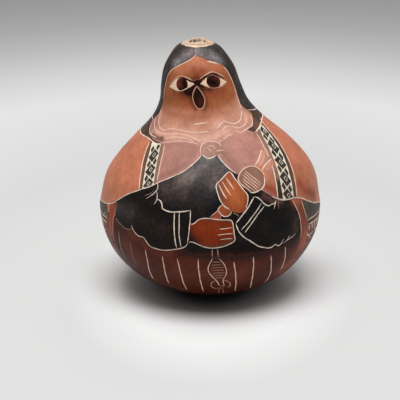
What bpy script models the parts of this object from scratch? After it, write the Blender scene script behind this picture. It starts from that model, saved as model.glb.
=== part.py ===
"""A gourd rattle: one dried bottle gourd, closed by the stub of its own stem, with its dry seeds loose inside.

The gourd stands on a small sanded flat. +Z is up, the decorated front faces -Y, and the origin is the middle
of the flat. The neck leans a little to the left of the front, as the fruit grew. Blender 4.5, lengths in metres.
"""

import math

import bmesh
import bpy
from mathutils import Matrix, Vector

MM = 0.001

# Gourd shell, outer surface. The belly below its widest level is a superellipse, cut off at the flat.
BELLY_RADIUS = 45.0 * MM
BELLY_HEIGHT = 36.0 * MM
BELLY_DROP = 37.0 * MM
BELLY_SQUARENESS = 2.2
WALL = 3.0 * MM
MOUTH_RADIUS = 5.5 * MM
CROWN_HEIGHT = 100.4 * MM
CROWN_LEAN = -4.8 * MM

# (radius, height, sideways shift) of the round sections, from the widest level up to the rim of the stem hole.
SHOULDER_TO_CROWN = [
    (BELLY_RADIUS, BELLY_HEIGHT, 0.0),
    (42.4 * MM, 47.5 * MM, 0.4 * MM),
    (37.8 * MM, 55.2 * MM, 0.8 * MM),
    (30.9 * MM, 62.7 * MM, 0.6 * MM),
    (22.9 * MM, 70.2 * MM, -0.8 * MM),
    (18.0 * MM, 77.2 * MM, -2.5 * MM),
    (16.0 * MM, 84.2 * MM, -3.6 * MM),
    (13.9 * MM, 91.2 * MM, -4.2 * MM),
    (10.0 * MM, 97.4 * MM, -4.6 * MM),
    (7.5 * MM, 99.7 * MM, -4.8 * MM),
    (MOUTH_RADIUS, CROWN_HEIGHT, CROWN_LEAN),
]

SEGMENTS = 48
STEPS_PER_SPAN = 2
BELLY_STEPS = 10
FLAT_STEPS = 2

# Stem stub: a root in the stem hole, and a low broken head over its rim.
GAP = 0.3 * MM
STUB_ROOT_RADIUS = MOUTH_RADIUS - GAP
STUB_ROOT_TAPER = 1.1 * MM
STUB_ROOT_TIP = 3.2 * MM
STUB_ROOT_DEPTH = 5.2 * MM
STUB_HEAD_RADIUS = 6.3 * MM
STUB_HEAD_EDGE = 0.8 * MM
STUB_HEAD_HEIGHT = 1.9 * MM
STUB_SEGMENTS = 24

# Seeds: flat, pointed at the end that grew on the pulp and blunt at the other.
SEED_LENGTH = 10.0 * MM
SEED_WIDTH = 5.2 * MM
SEED_THICKNESS = 2.2 * MM
SEED_SEGMENTS = 12
SEED_RINGS = 8
SEED_GAP = 0.5 * MM

# (seeds, radius) of each ring that the seeds settle into on the floor of the gourd.
SEED_RING_SIZES = [(1, 0.0), (5, 8.9 * MM), (8, 15.8 * MM), (10, 22.6 * MM)]
SEED_TURN = math.radians(12.0)

SHELL_COLOUR = (0.33, 0.085, 0.04, 1.0)
STEM_COLOUR = (0.72, 0.53, 0.34, 1.0)
SEED_COLOUR = (0.55, 0.38, 0.21, 1.0)


def clear_scene():
    for obj in list(bpy.data.objects):
        bpy.data.objects.remove(obj, do_unlink=True)


def make_collection(name):
    collection = bpy.data.collections.new(name)
    bpy.context.scene.collection.children.link(collection)
    return collection


def make_material(name, colour, roughness):
    material = bpy.data.materials.new(name)
    material.use_nodes = True
    shader = material.node_tree.nodes["Principled BSDF"]
    shader.inputs["Base Color"].default_value = colour
    shader.inputs["Roughness"].default_value = roughness
    shader.inputs["Metallic"].default_value = 0.0
    return material


def add_object(name, mesh, material, collection):
    obj = bpy.data.objects.new(name, mesh)
    if not mesh.materials:
        mesh.materials.append(material)
    collection.objects.link(obj)
    return obj


def curve_through(points, steps):
    """Points on a Catmull-Rom curve through the given points, with this many steps to a span."""
    ends = [2 * points[0] - points[1]] + points + [2 * points[-1] - points[-2]]
    curve = []
    for before, start, end, after in zip(ends, ends[1:], ends[2:], ends[3:]):
        for step in range(steps):
            t = step / steps
            curve.append(
                0.5
                * (
                    2 * start
                    + t * (end - before)
                    + t**2 * (2 * before - 5 * start + 4 * end - after)
                    + t**3 * (3 * start - before - 3 * end + after)
                )
            )
    curve.append(points[-1])
    return curve


def belly_height_at(radius, inset=0.0):
    """Height of the belly's underside at a radius, on the outer surface or inset into the wall."""
    share = min(1.0, radius / (BELLY_RADIUS - inset))
    drop = (1.0 - share**BELLY_SQUARENESS) ** (1.0 / BELLY_SQUARENESS)
    return max(inset, BELLY_HEIGHT - (BELLY_DROP - inset) * drop)


def flat_radius():
    """Radius at which the belly's superellipse meets the height of the flat."""
    share = 1.0 - (BELLY_HEIGHT / BELLY_DROP) ** BELLY_SQUARENESS
    return BELLY_RADIUS * share ** (1.0 / BELLY_SQUARENESS)


def outer_profile():
    """(radius, 0, height) and the sideways shift of each round section, from the stem hole's rim to the flat."""
    upper = curve_through([Vector(section) for section in reversed(SHOULDER_TO_CROWN)], STEPS_PER_SPAN)
    profile = [Vector((radius, 0.0, height)) for radius, height, _ in upper]
    shifts = [shift for _, _, shift in upper]
    edge = flat_radius()
    # Even turns of the superellipse's own angle, from the widest level to the edge of the flat.
    for step in range(1, BELLY_STEPS):
        turn = math.pi / 2 * step / BELLY_STEPS
        radius = BELLY_RADIUS * math.cos(turn) ** (2.0 / BELLY_SQUARENESS)
        if radius > edge * 1.1:
            profile.append(Vector((radius, 0.0, belly_height_at(radius))))
    for step in range(FLAT_STEPS + 1):
        profile.append(Vector((edge * (1.0 - step / FLAT_STEPS), 0.0, 0.0)))
    return profile, shifts


def lean_at(height, profile, shifts):
    """Sideways shift at a height, read between the sections of the profile. Below the last one it is none."""
    for above, below, high, low in zip(shifts, shifts[1:], profile, profile[1:]):
        if height >= low.z:
            share = min(1.0, (height - low.z) / (high.z - low.z))
            return below + (above - below) * share
    return 0.0


def turned_mesh(name, profile, segments):
    """A surface of revolution about Z from a profile in the XZ plane that runs down its outer side."""
    bm = bmesh.new()
    verts = [bm.verts.new(point) for point in profile]
    edges = [bm.edges.new(pair) for pair in zip(verts, verts[1:])]
    bmesh.ops.spin(
        bm,
        geom=verts + edges,
        cent=(0.0, 0.0, 0.0),
        axis=(0.0, 0.0, 1.0),
        angle=2.0 * math.pi,
        steps=segments,
        use_merge=True,
    )
    bmesh.ops.remove_doubles(bm, verts=bm.verts, dist=0.01 * MM)
    bmesh.ops.recalc_face_normals(bm, faces=bm.faces)
    mesh = bpy.data.meshes.new(name)
    bm.to_mesh(mesh)
    bm.free()
    mesh.shade_smooth()
    return mesh


def add_gourd_shell(collection):
    """The dried fruit: one thin wall of even thickness, open only at the stem hole."""
    profile, shifts = outer_profile()
    mesh = turned_mesh("gourd_shell", profile, SEGMENTS)
    for vert in mesh.vertices:
        vert.co.x += lean_at(vert.co.z, profile, shifts)
    material = make_material("gourd_skin", SHELL_COLOUR, 0.45)
    shell = add_object("gourd_shell", mesh, material, collection)
    wall = shell.modifiers.new("wall", "SOLIDIFY")
    wall.thickness = WALL
    wall.offset = -1.0
    wall.use_even_offset = True
    wall.use_rim = True
    return shell


def add_stem_stub(collection):
    """The end of the stem, which closes the hole: its root in the wall and its broken head above the rim."""
    under = CROWN_HEIGHT + GAP
    profile = [
        (0.0, under + STUB_HEAD_HEIGHT),
        (0.45 * STUB_HEAD_RADIUS, under + 0.93 * STUB_HEAD_HEIGHT),
        (0.85 * STUB_HEAD_RADIUS, under + 0.62 * STUB_HEAD_HEIGHT),
        (STUB_HEAD_RADIUS, under + 0.5 * STUB_HEAD_EDGE),
        (0.97 * STUB_HEAD_RADIUS, under),
        (STUB_ROOT_RADIUS, under),
        (STUB_ROOT_RADIUS - STUB_ROOT_TAPER, CROWN_HEIGHT - WALL),
        (STUB_ROOT_TIP, CROWN_HEIGHT - STUB_ROOT_DEPTH),
        (0.0, CROWN_HEIGHT - STUB_ROOT_DEPTH),
    ]
    points = [Vector((radius, 0.0, height)) for radius, height in profile]
    mesh = turned_mesh("stem_stub", points, STUB_SEGMENTS)
    material = make_material("stem_wood", STEM_COLOUR, 0.8)
    stub = add_object("stem_stub", mesh, material, collection)
    stub.location.x = CROWN_LEAN
    return stub


def seed_mesh():
    """One flat seed along X, from a round sphere: pointed at -X, widest past the middle, blunt at +X."""
    bm = bmesh.new()
    bmesh.ops.create_uvsphere(
        bm,
        u_segments=SEED_SEGMENTS,
        v_segments=SEED_RINGS,
        radius=1.0,
        matrix=Matrix.Rotation(math.pi / 2, 4, "Y"),
    )
    for vert in bm.verts:
        along = vert.co.x
        taper = 1.0 + 0.28 * along
        bluntness = 1.0 + 0.22 * max(0.0, along) ** 2
        vert.co.x = SEED_LENGTH / 2 * along
        vert.co.y *= SEED_WIDTH / 2 * taper * bluntness * 0.85
        vert.co.z *= SEED_THICKNESS / 2
    bmesh.ops.recalc_face_normals(bm, faces=bm.faces)
    mesh = bpy.data.meshes.new("seed")
    bm.to_mesh(mesh)
    bm.free()
    mesh.shade_smooth()
    return mesh


def seed_pose(ring_radius, around, turn):
    """Where a seed lies: on the floor of the gourd, tilted to its slope and turned about its own face."""
    step = 0.5 * MM
    floor = belly_height_at(ring_radius, WALL)
    slope = math.atan2(belly_height_at(ring_radius + step, WALL) - floor, step)
    lift = Vector((-math.sin(slope), 0.0, math.cos(slope))) * (SEED_THICKNESS / 2 + SEED_GAP)
    place = Vector((ring_radius, 0.0, floor)) + lift
    return (
        Matrix.Rotation(around, 4, "Z")
        @ Matrix.Translation(place)
        @ Matrix.Rotation(-slope, 4, "Y")
        @ Matrix.Rotation(turn, 4, "Z")
    )


def add_seeds(collection):
    """The loose seeds, each its own object, in one layer so that any of them can jump clear of the rest."""
    mesh = seed_mesh()
    material = make_material("seed_coat", SEED_COLOUR, 0.7)
    number = 0
    for ring, (count, radius) in enumerate(SEED_RING_SIZES):
        for place in range(count):
            number += 1
            around = 2.0 * math.pi * place / count + 0.6 * ring
            turn = math.pi / 2 + SEED_TURN * math.sin(2.4 * number)
            seed = add_object(f"seed_{number:02d}", mesh, material, collection)
            seed.matrix_world = seed_pose(radius, around, turn)


def main():
    clear_scene()
    rattle = make_collection("gourd_rattle")
    add_gourd_shell(rattle)
    add_stem_stub(rattle)
    add_seeds(rattle)


main()
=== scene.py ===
"""Looks of the gourd rattle: the engraved and dyed shell, the stem stub and the seeds, and their stage.

The decoration is laid out as a person would draw it on the gourd. Each point is (azimuth, height), with the
azimuth in degrees from the middle of the front, positive to the viewer's right, and the height in mm.
Lengths are in millimetres until a mesh is made, and in metres in Blender.
"""

import math

import bpy
import numpy as np
from mathutils import Matrix, Vector, kdtree
from mathutils.geometry import delaunay_2d_cdt

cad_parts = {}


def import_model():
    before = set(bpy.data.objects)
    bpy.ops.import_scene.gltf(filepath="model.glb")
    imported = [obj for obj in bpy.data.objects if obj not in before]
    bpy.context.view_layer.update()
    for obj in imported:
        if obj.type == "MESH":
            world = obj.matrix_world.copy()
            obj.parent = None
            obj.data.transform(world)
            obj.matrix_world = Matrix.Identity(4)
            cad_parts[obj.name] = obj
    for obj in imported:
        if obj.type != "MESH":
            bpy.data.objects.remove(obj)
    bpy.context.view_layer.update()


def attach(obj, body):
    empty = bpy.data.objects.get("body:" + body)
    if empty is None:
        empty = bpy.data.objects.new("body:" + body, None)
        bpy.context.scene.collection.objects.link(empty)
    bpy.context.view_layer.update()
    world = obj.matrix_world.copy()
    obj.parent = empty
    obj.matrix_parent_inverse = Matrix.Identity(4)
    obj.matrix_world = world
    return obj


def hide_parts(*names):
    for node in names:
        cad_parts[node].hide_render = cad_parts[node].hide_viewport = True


MM = 0.001
TURN = 2.0 * math.pi


# ---------------------------------------------------------------- sizes, in millimetres

# The shell's outer surface, as in the CAD model.
BELLY_RADIUS = 45.0
BELLY_HEIGHT = 36.0
BELLY_DROP = 37.0
BELLY_SQUARENESS = 2.2
WALL = 3.0
BORE_RADIUS = 5.5
CROWN_HEIGHT = 100.4
CROWN_LEAN = -4.8

# (radius, height, sideways shift) of the round sections, from the widest level up to the stem hole's rim.
SHOULDER_TO_CROWN = [
    (BELLY_RADIUS, BELLY_HEIGHT, 0.0),
    (42.4, 47.5, 0.4),
    (37.8, 55.2, 0.8),
    (30.9, 62.7, 0.6),
    (22.9, 70.2, -0.8),
    (18.0, 77.2, -2.5),
    (16.0, 84.2, -3.6),
    (13.9, 91.2, -4.2),
    (10.0, 97.4, -4.6),
    (7.5, 99.7, -4.8),
    (BORE_RADIUS, CROWN_HEIGHT, CROWN_LEAN),
]
SECTION_STEPS = 24
BELLY_STEPS = 200

# The lumpiness that a fruit grows with: (size, lumps round, rise to a radian, phase). It fades out over a
# stretch above the foot, and over another below the crown.
LUMPS = [(0.16, 2, 11.0, 0.0), (0.12, 3, -7.0, 1.3), (0.07, 5, 4.1, 0.4)]
FOOT_FADE = 12.0
CROWN_FADE = 14.0
CROWN_FADE_END = 98.0

# The inside of the wall: the lower rim of the stem hole, where the wall's own inner face starts below it, its
# rows down to the floor, and the rings of the floor as shares of its radius.
BORE_RIM = [(5.45, 100.2), (5.3, 98.8)]
BORE_FOOT = (5.0, 97.4)
INNER_TOP = 97.2
INNER_LEAST_RADIUS = 5.4
INNER_ROWS = 58
FLOOR_RINGS = (0.85, 0.6, 0.35)
FLAT_RINGS = (0.75, 0.5, 0.25)
CROWN_RINGS = 4

# The engraved stretch of the surface lies between two plain rings, at the foot and the crown. Its seam is at
# the back.
FOOT_HEIGHT = 1.2
TOP_HEIGHT = 100.25
FOOT_POINTS = 110
TOP_POINTS = 56
SEAM_AZIMUTH = -152.0
SPAN = (math.radians(SEAM_AZIMUTH) * BELLY_RADIUS, (math.radians(SEAM_AZIMUTH) + TURN) * BELLY_RADIUS)

# The engraver's hand: the usual width and depth of a line, the waves in its width as (share, radians to a
# millimetre, phase from line to line), the wavering of its path, and how its ends thin out.
LINE = 0.35
LINE_DEPTH = 0.18
WIDTH_WAVES = [(0.14, 1.3, 1.0), (0.08, 3.1, 2.3)]
WAVER = 0.05
WAVER_RATE = 0.9
WAVER_PHASE = 1.7
TAPER = 1.6
TAPER_POWER = 0.6
TIP_WIDTH = 0.25

# Meshing. A path's points are a STEP apart, and a corner's neighbours at least CORNER_ROOM from it. A path
# that comes within SPAN_MARGIN of the span is meshed. The points of an outline keep clear of the strokes and
# the two rings, and plain points keep clear of them all.
CURVE_STEPS = 16
SMUDGE_STEPS = 6
STEP = 0.7
CORNER_ROOM = 0.3
SPAN_MARGIN = 2.0
STROKE_ROOM = 0.12
RING_ROOM = 0.3
POINT_ROOM = 0.32
SNAP = 1e-3
MERGE = 1e-4

# Plain points are closest in the face, twice as far apart on the rest of the front, and three times behind.
FACE_SPACING = 0.6
FACE_FROM, FACE_TO, FACE_ABOVE = -66, 60, 71
FRONT_AZIMUTH = 100
ROW_PITCH = 0.87

# A smudge is felt as far as this many times its reach.
SMUDGE_EXTENT = 2.6

# The stem's stub: its broken top, then (radius, height) down its underside and root, and (x, y, half width,
# half length) of each open pit in the top.
STUB_RADIUS = 6.2
STUB_TOP = 102.5
STUB_SIDES = 96
STUB_RINGS = 20
STUB_ROOT = [(6.1, 100.25), (5.3, 100.3), (5.1, 99.9), (4.1, 97.4), (3.1, 95.4)]
STUB_ROOT_END = 95.3
STUB_PITS = [
    (-2.8, -1.9, 0.80, 1.20), (-1.2, -2.4, 0.70, 1.30), (-0.2, -2.9, 0.55, 0.90), (0.8, -2.1, 0.75, 1.20),
    (2.7, -2.2, 0.45, 0.90), (-0.6, 1.6, 1.0, 0.8), (2.4, 1.4, 0.8, 0.7), (-3.2, 2.1, 0.7, 0.8),
]

# The seeds, and (seeds, radius) of each ring in which they lie, as in the CAD model.
SEED_LENGTH = 10.0
SEED_WIDTH = 5.2
SEED_THICKNESS = 2.2
SEED_GAP = 0.5
SEED_RINGS = [(1, 0.0), (5, 8.9), (8, 15.8), (10, 22.6)]
SEED_TURN = math.radians(12.0)
SEED_SIDES = 32
SEED_ROWS = 20
SEED_MOST_ASIDE = 2.5


def catmull_rom(points, steps, closed=False):
    """Points on a smooth curve through the given ones."""
    points = np.asarray(points, float)
    if closed:
        ends = np.vstack([points[-1:], points, points[:2]])
    else:
        ends = np.vstack([2 * points[0] - points[1], points, 2 * points[-1] - points[-2]])
    t = (np.arange(steps) / steps)[:, None]
    spans = []
    for before, start, end, after in zip(ends, ends[1:], ends[2:], ends[3:]):
        spans.append(
            0.5
            * (
                2 * start
                + t * (end - before)
                + t**2 * (2 * before - 5 * start + 4 * end - after)
                + t**3 * (3 * start - before - 3 * end + after)
            )
        )
    return np.vstack(spans + ([] if closed else [points[-1:]]))


class Surface:
    """The gourd's outer surface, and the plane on which its decoration is meshed.

    The plane's scale is the same in both directions at any one height, so shapes and angles on it are those
    on the gourd. Its unit is a millimetre at the widest level.
    """

    def __init__(self):
        upper = catmull_rom(SHOULDER_TO_CROWN, SECTION_STEPS)
        turns = np.linspace(math.pi / 2, 0.0, BELLY_STEPS)[:-1]
        radius = BELLY_RADIUS * np.cos(turns) ** (2 / BELLY_SQUARENESS)
        height = BELLY_HEIGHT - BELLY_DROP * np.sin(turns) ** (2 / BELLY_SQUARENESS)
        lower = np.stack([radius, height, 0 * radius], 1)[height > 0.0]
        share = 1.0 - (BELLY_HEIGHT / BELLY_DROP) ** BELLY_SQUARENESS
        edge = [[BELLY_RADIUS * share ** (1 / BELLY_SQUARENESS), 0.0, 0.0]]
        self.radii, self.heights, self.leans = np.vstack([edge, lower, upper]).T
        run = np.hypot(np.diff(self.radii), np.diff(self.heights))
        middle = 0.5 * (self.radii[1:] + self.radii[:-1])
        self.ups = np.concatenate([[0.0], np.cumsum(run * BELLY_RADIUS / middle)])

    def plane(self, points):
        """(azimuth, height) to the plane."""
        points = np.asarray(points, float)
        x = np.radians(points[..., 0]) * BELLY_RADIUS
        return np.stack([x, np.interp(points[..., 1], self.heights, self.ups)], -1)

    def radius(self, up):
        return np.interp(up, self.ups, self.radii)

    def height(self, up):
        return np.interp(up, self.ups, self.heights)

    def lean(self, height):
        """Sideways shift of the round section at a height."""
        return np.interp(height, self.heights, self.leans)

    def scale(self, up):
        """Plane units to one millimetre on the gourd."""
        return BELLY_RADIUS / self.radius(up)

    def space(self, plane, sink):
        """Points of the plane on the gourd, sunk into its surface, in millimetres."""
        azimuth = plane[..., 0] / BELLY_RADIUS
        up = plane[..., 1]
        height = self.height(up)
        radius = self.radius(up)
        nudge = 0.4
        rise = self.height(up + nudge) - self.height(up - nudge)
        flare = self.radius(up + nudge) - self.radius(up - nudge)
        length = np.hypot(rise, flare)
        sink = sink - swell(azimuth, height)
        radius = radius - sink * rise / length
        lifted = height + sink * flare / length
        return np.stack([self.lean(height) + radius * np.sin(azimuth), -radius * np.cos(azimuth), lifted], -1)


def swell(azimuth, height):
    """How far the lumps stand out of the surface."""
    fade = np.clip(height / FOOT_FADE, 0.0, 1.0) * np.clip((CROWN_FADE_END - height) / CROWN_FADE, 0.0, 1.0)
    lumps = 0.0
    for size, lumps_round, rise, phase in LUMPS:
        lumps = lumps + size * np.sin(lumps_round * azimuth + height / rise + phase)
    return fade * lumps


SURFACE = Surface()


# ---------------------------------------------------------------- drawing on the gourd


def run_along(path, scale):
    """Distance along a path to each of its points, in millimetres on the gourd."""
    return np.concatenate([[0.0], np.cumsum(np.hypot(*np.diff(path, axis=0).T) / scale[1:])])


def left_of(path):
    """Unit steps to the left of a path at each of its points."""
    ahead = np.gradient(path, axis=0)
    ahead /= np.hypot(*ahead.T)[:, None]
    return np.stack([-ahead[:, 1], ahead[:, 0]], 1)


class Drawing:
    """The decoration's strokes, painted areas and soft patches, in the order in which they are laid on."""

    def __init__(self):
        self.strokes = []
        self.areas = []
        self.patches = []

    def line(self, points, width=1.0, paint="cut", depth=LINE_DEPTH, closed=False, taper=True, smooth=True):
        """One engraved or drawn line through points, its width in usual widths.

        A hand pushes the burin, so the width varies and the line wavers, and its ends thin out.
        """
        number = len(self.strokes)
        for path, scale in self._laid_out(points, closed, smooth):
            run = run_along(path, scale)
            half = np.full(len(path), width * LINE / 2)
            if not closed:
                wave = 1.0
                for share, rate, phase in WIDTH_WAVES:
                    wave = wave + share * np.sin(rate * run + phase * number)
                half *= wave
                waver = WAVER * scale * np.sin(WAVER_RATE * run + WAVER_PHASE * number)
                path = path + left_of(path) * waver[:, None]
            if taper and not closed:
                fade = min(TAPER, run[-1] / 3)
                share = np.clip(np.minimum(run, run[-1] - run) / fade, 0.0, 1.0)
                half *= TIP_WIDTH + (1.0 - TIP_WIDTH) * share**TAPER_POWER
            self.strokes.append((path, half * scale, paint, depth))

    def lines(self, rows):
        """Lines in turn. Each row is a line's points and width, then any paint and depth of its own."""
        for row in rows:
            self.line(*row)

    def area(self, points, paint, smooth=True, depth=0.0):
        """One painted area inside an outline."""
        for path, _ in self._laid_out(points, True, smooth):
            self.areas.append((path, paint, depth))

    def smudge(self, points, reach, paint, strength, on):
        """A soft patch of another colour along a path, on areas of the paints that on names.

        Its reach is in millimetres, and its strength goes from 0 to 1.
        """
        path = catmull_rom(SURFACE.plane(points), SMUDGE_STEPS)
        self.patches.append((path, reach, paint, strength, on))

    def smudges(self, on, rows):
        """Soft patches in turn. Each row is its points, reach, paint and strength."""
        for row in rows:
            self.smudge(*row, on)

    def _laid_out(self, points, closed, smooth):
        """The path in even steps on the plane, once for each time round that touches the drawing's span."""
        path = SURFACE.plane(points)
        if smooth and len(path) > 2:
            path = catmull_rom(path, CURVE_STEPS, closed)
        if closed:
            path = np.vstack([path, path[:1]])
        run = run_along(path, SURFACE.scale(path[:, 1]))
        corners = [] if smooth else list(run)
        count = max(4, math.ceil(run[-1] / STEP))
        stops = np.unique(np.round(np.concatenate([np.linspace(0.0, run[-1], count + 1), corners]), 6))
        if corners:
            at_corner = np.isin(stops, np.round(corners, 6))
            clear = abs(stops[:, None] - corners).min(1) > CORNER_ROOM
            stops = stops[at_corner | clear]
        even = np.stack([np.interp(stops, run, path[:, 0]), np.interp(stops, run, path[:, 1])], 1)
        round_trip = TURN * BELLY_RADIUS
        for shift in (-round_trip, 0.0, round_trip):
            moved = even + (shift, 0.0)
            if moved[:, 0].max() > SPAN[0] - SPAN_MARGIN and moved[:, 0].min() < SPAN[1] + SPAN_MARGIN:
                yield moved, SURFACE.scale(moved[:, 1])


def oval(azimuth, height, half_width, half_height, count):
    """Points round an oval. half_width is in degrees and half_height in millimetres."""
    turns = [TURN * k / count for k in range(count)]
    return [(azimuth + half_width * math.cos(turn), height + half_height * math.sin(turn)) for turn in turns]


# ---------------------------------------------------------------- the picture

FACE_TOP = [
    (-66, 74.5), (-64.5, 79), (-62, 84), (-58.5, 88), (-52, 90.6), (-43, 92.2), (-33, 93.3), (-22, 94.6),
    (-13, 95.7), (-8, 96.5), (-5, 97.2), (-1, 96.6), (7, 96.1), (17, 95.3), (28, 94.6), (38, 93.8),
    (45, 92.9), (51, 90.8), (55, 88), (57, 84.5), (56.5, 80.5), (55, 78),
]
FACE_FOOT = [
    (50, 75.8), (45.7, 74.4), (39.3, 72.8), (33.5, 72.1), (28.5, 71.8), (24.9, 72.2), (19.6, 72.9),
    (15, 72.2), (9, 70.9), (0, 69.5), (-15, 69.2), (-38, 69.5), (-52, 69.3), (-58, 70.3), (-63, 72.5),
]
CLOAK_LEFT = [
    (-92, 37.0), (-84, 37.5), (-75, 38.5), (-67, 39.5), (-62, 40.5), (-57, 42.3), (-52, 44.8), (-46, 47.4),
    (-40, 49.5), (-35, 51.2), (-30, 53.2), (-25, 54.9), (-20, 56.5), (-15, 58.5), (-10, 61), (-7, 62.8),
]
CLOAK_RIGHT = [
    (4, 62.7), (7.4, 60.3), (10.9, 58.2), (14.4, 56.7), (20, 54), (26, 51), (32.3, 48.1), (35.4, 46.9),
    (38.7, 45.9), (41.6, 45.6), (49.1, 45.2), (54.5, 44), (59.6, 42.1), (67.7, 39.6), (76, 38), (83, 36.6),
    (92, 36.2),
]
BAND_LEFT_INNER = [(-37.8, 64.7), (-36, 61.7), (-34.3, 58.6), (-33, 55.9), (-31.9, 53.4)]
BAND_RIGHT_INNER = [(45.5, 67.8), (43.2, 65.3), (41.2, 62.4), (40.0, 60.2)]
BAND_RIGHT_LOWER = [(39.5, 57.8), (38.4, 55.3), (37.4, 52.7), (36.6, 49.9), (36.2, 46.6)]
HAIR_LINE = [
    (55, 78), (57.5, 76.2), (62, 75.2), (70.4, 74.7), (83.7, 74.0), (110, 73.4), (145, 72.4), (180, 72),
    (215, 71.6), (250, 71), (275, 70.9), (286, 71), (294, 71.8), (294, 74.5),
]
MANTLE_TOP = [
    (45.8, 68.2), (50, 68.7), (57.2, 69.4), (62, 70), (68.2, 70.5), (82, 71.2), (110, 70.6), (145, 69.2),
    (180, 67.6), (215, 66.4), (250, 65.4), (275, 65.2), (290, 65.2), (300, 65.3), (307, 64.8), (313, 64.5),
    (319, 64.7),
]


def draw_grounds(d):
    """The large areas of colour, from the skirt up to the hair and the scar of the stem."""
    d.area([
        (-170, -1), (-170, 34), (-76, 34), (-62, 37), (-30, 38), (60, 38), (74, 34), (220, 34), (220, -1),
    ], "skirt", smooth=False)
    d.area(HAIR_LINE + [(300, 76), (300, 101), (50, 101), (50, 79)], "hair", smooth=False)
    d.area([(-66, 74), (-66, 101), (57, 101), (57, 78)], "hair", smooth=False)
    scar = []
    for azimuth in range(-180, 190, 6):
        rise = 0.72 * abs(math.sin(math.radians(azimuth + 4)))
        scar.append((azimuth, 99.40 + rise + 0.05 * math.sin(azimuth / 5)))
    d.area(scar + [(184, 101), (-184, 101)], "scar", smooth=False)
    d.line(scar, 0.9, "bark", 0.0, taper=False)


def draw_shoulders(d):
    """The dark inside of the mantle at the neck, the blouse between the bands, and the face."""
    wedge_right = [(54.6, 77), (62.9, 73.6), (57.1, 72), (49, 70.6), (38.9, 69.4), (31.9, 69)]
    wedge_left = [(323, 65.6), (314, 65.8), (306, 66.4), (299.3, 66.6), (291.1, 68.5), (285.1, 70.7)]
    d.area(MANTLE_TOP + wedge_left + HAIR_LINE[-3:1:-1] + wedge_right[1:], "umber", smooth=False)
    blouse = [(-66, 74.3), (-74.9, 70.7), (-68.9, 68.5), (-60.7, 66.6), (-53.3, 65.4), (-44, 65)]
    blouse += BAND_LEFT_INNER + CLOAK_LEFT[10:] + CLOAK_RIGHT[:7]
    blouse += BAND_RIGHT_LOWER[::-1] + BAND_RIGHT_INNER[::-1]
    blouse += [(38.9, 69.3), (49, 70.6), (57.1, 72), (62.9, 73.6), (58, 76), (56.5, 77.4)] + FACE_FOOT
    d.area(blouse, "blouse", smooth=False)
    d.area(FACE_TOP + FACE_FOOT, "face")


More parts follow.
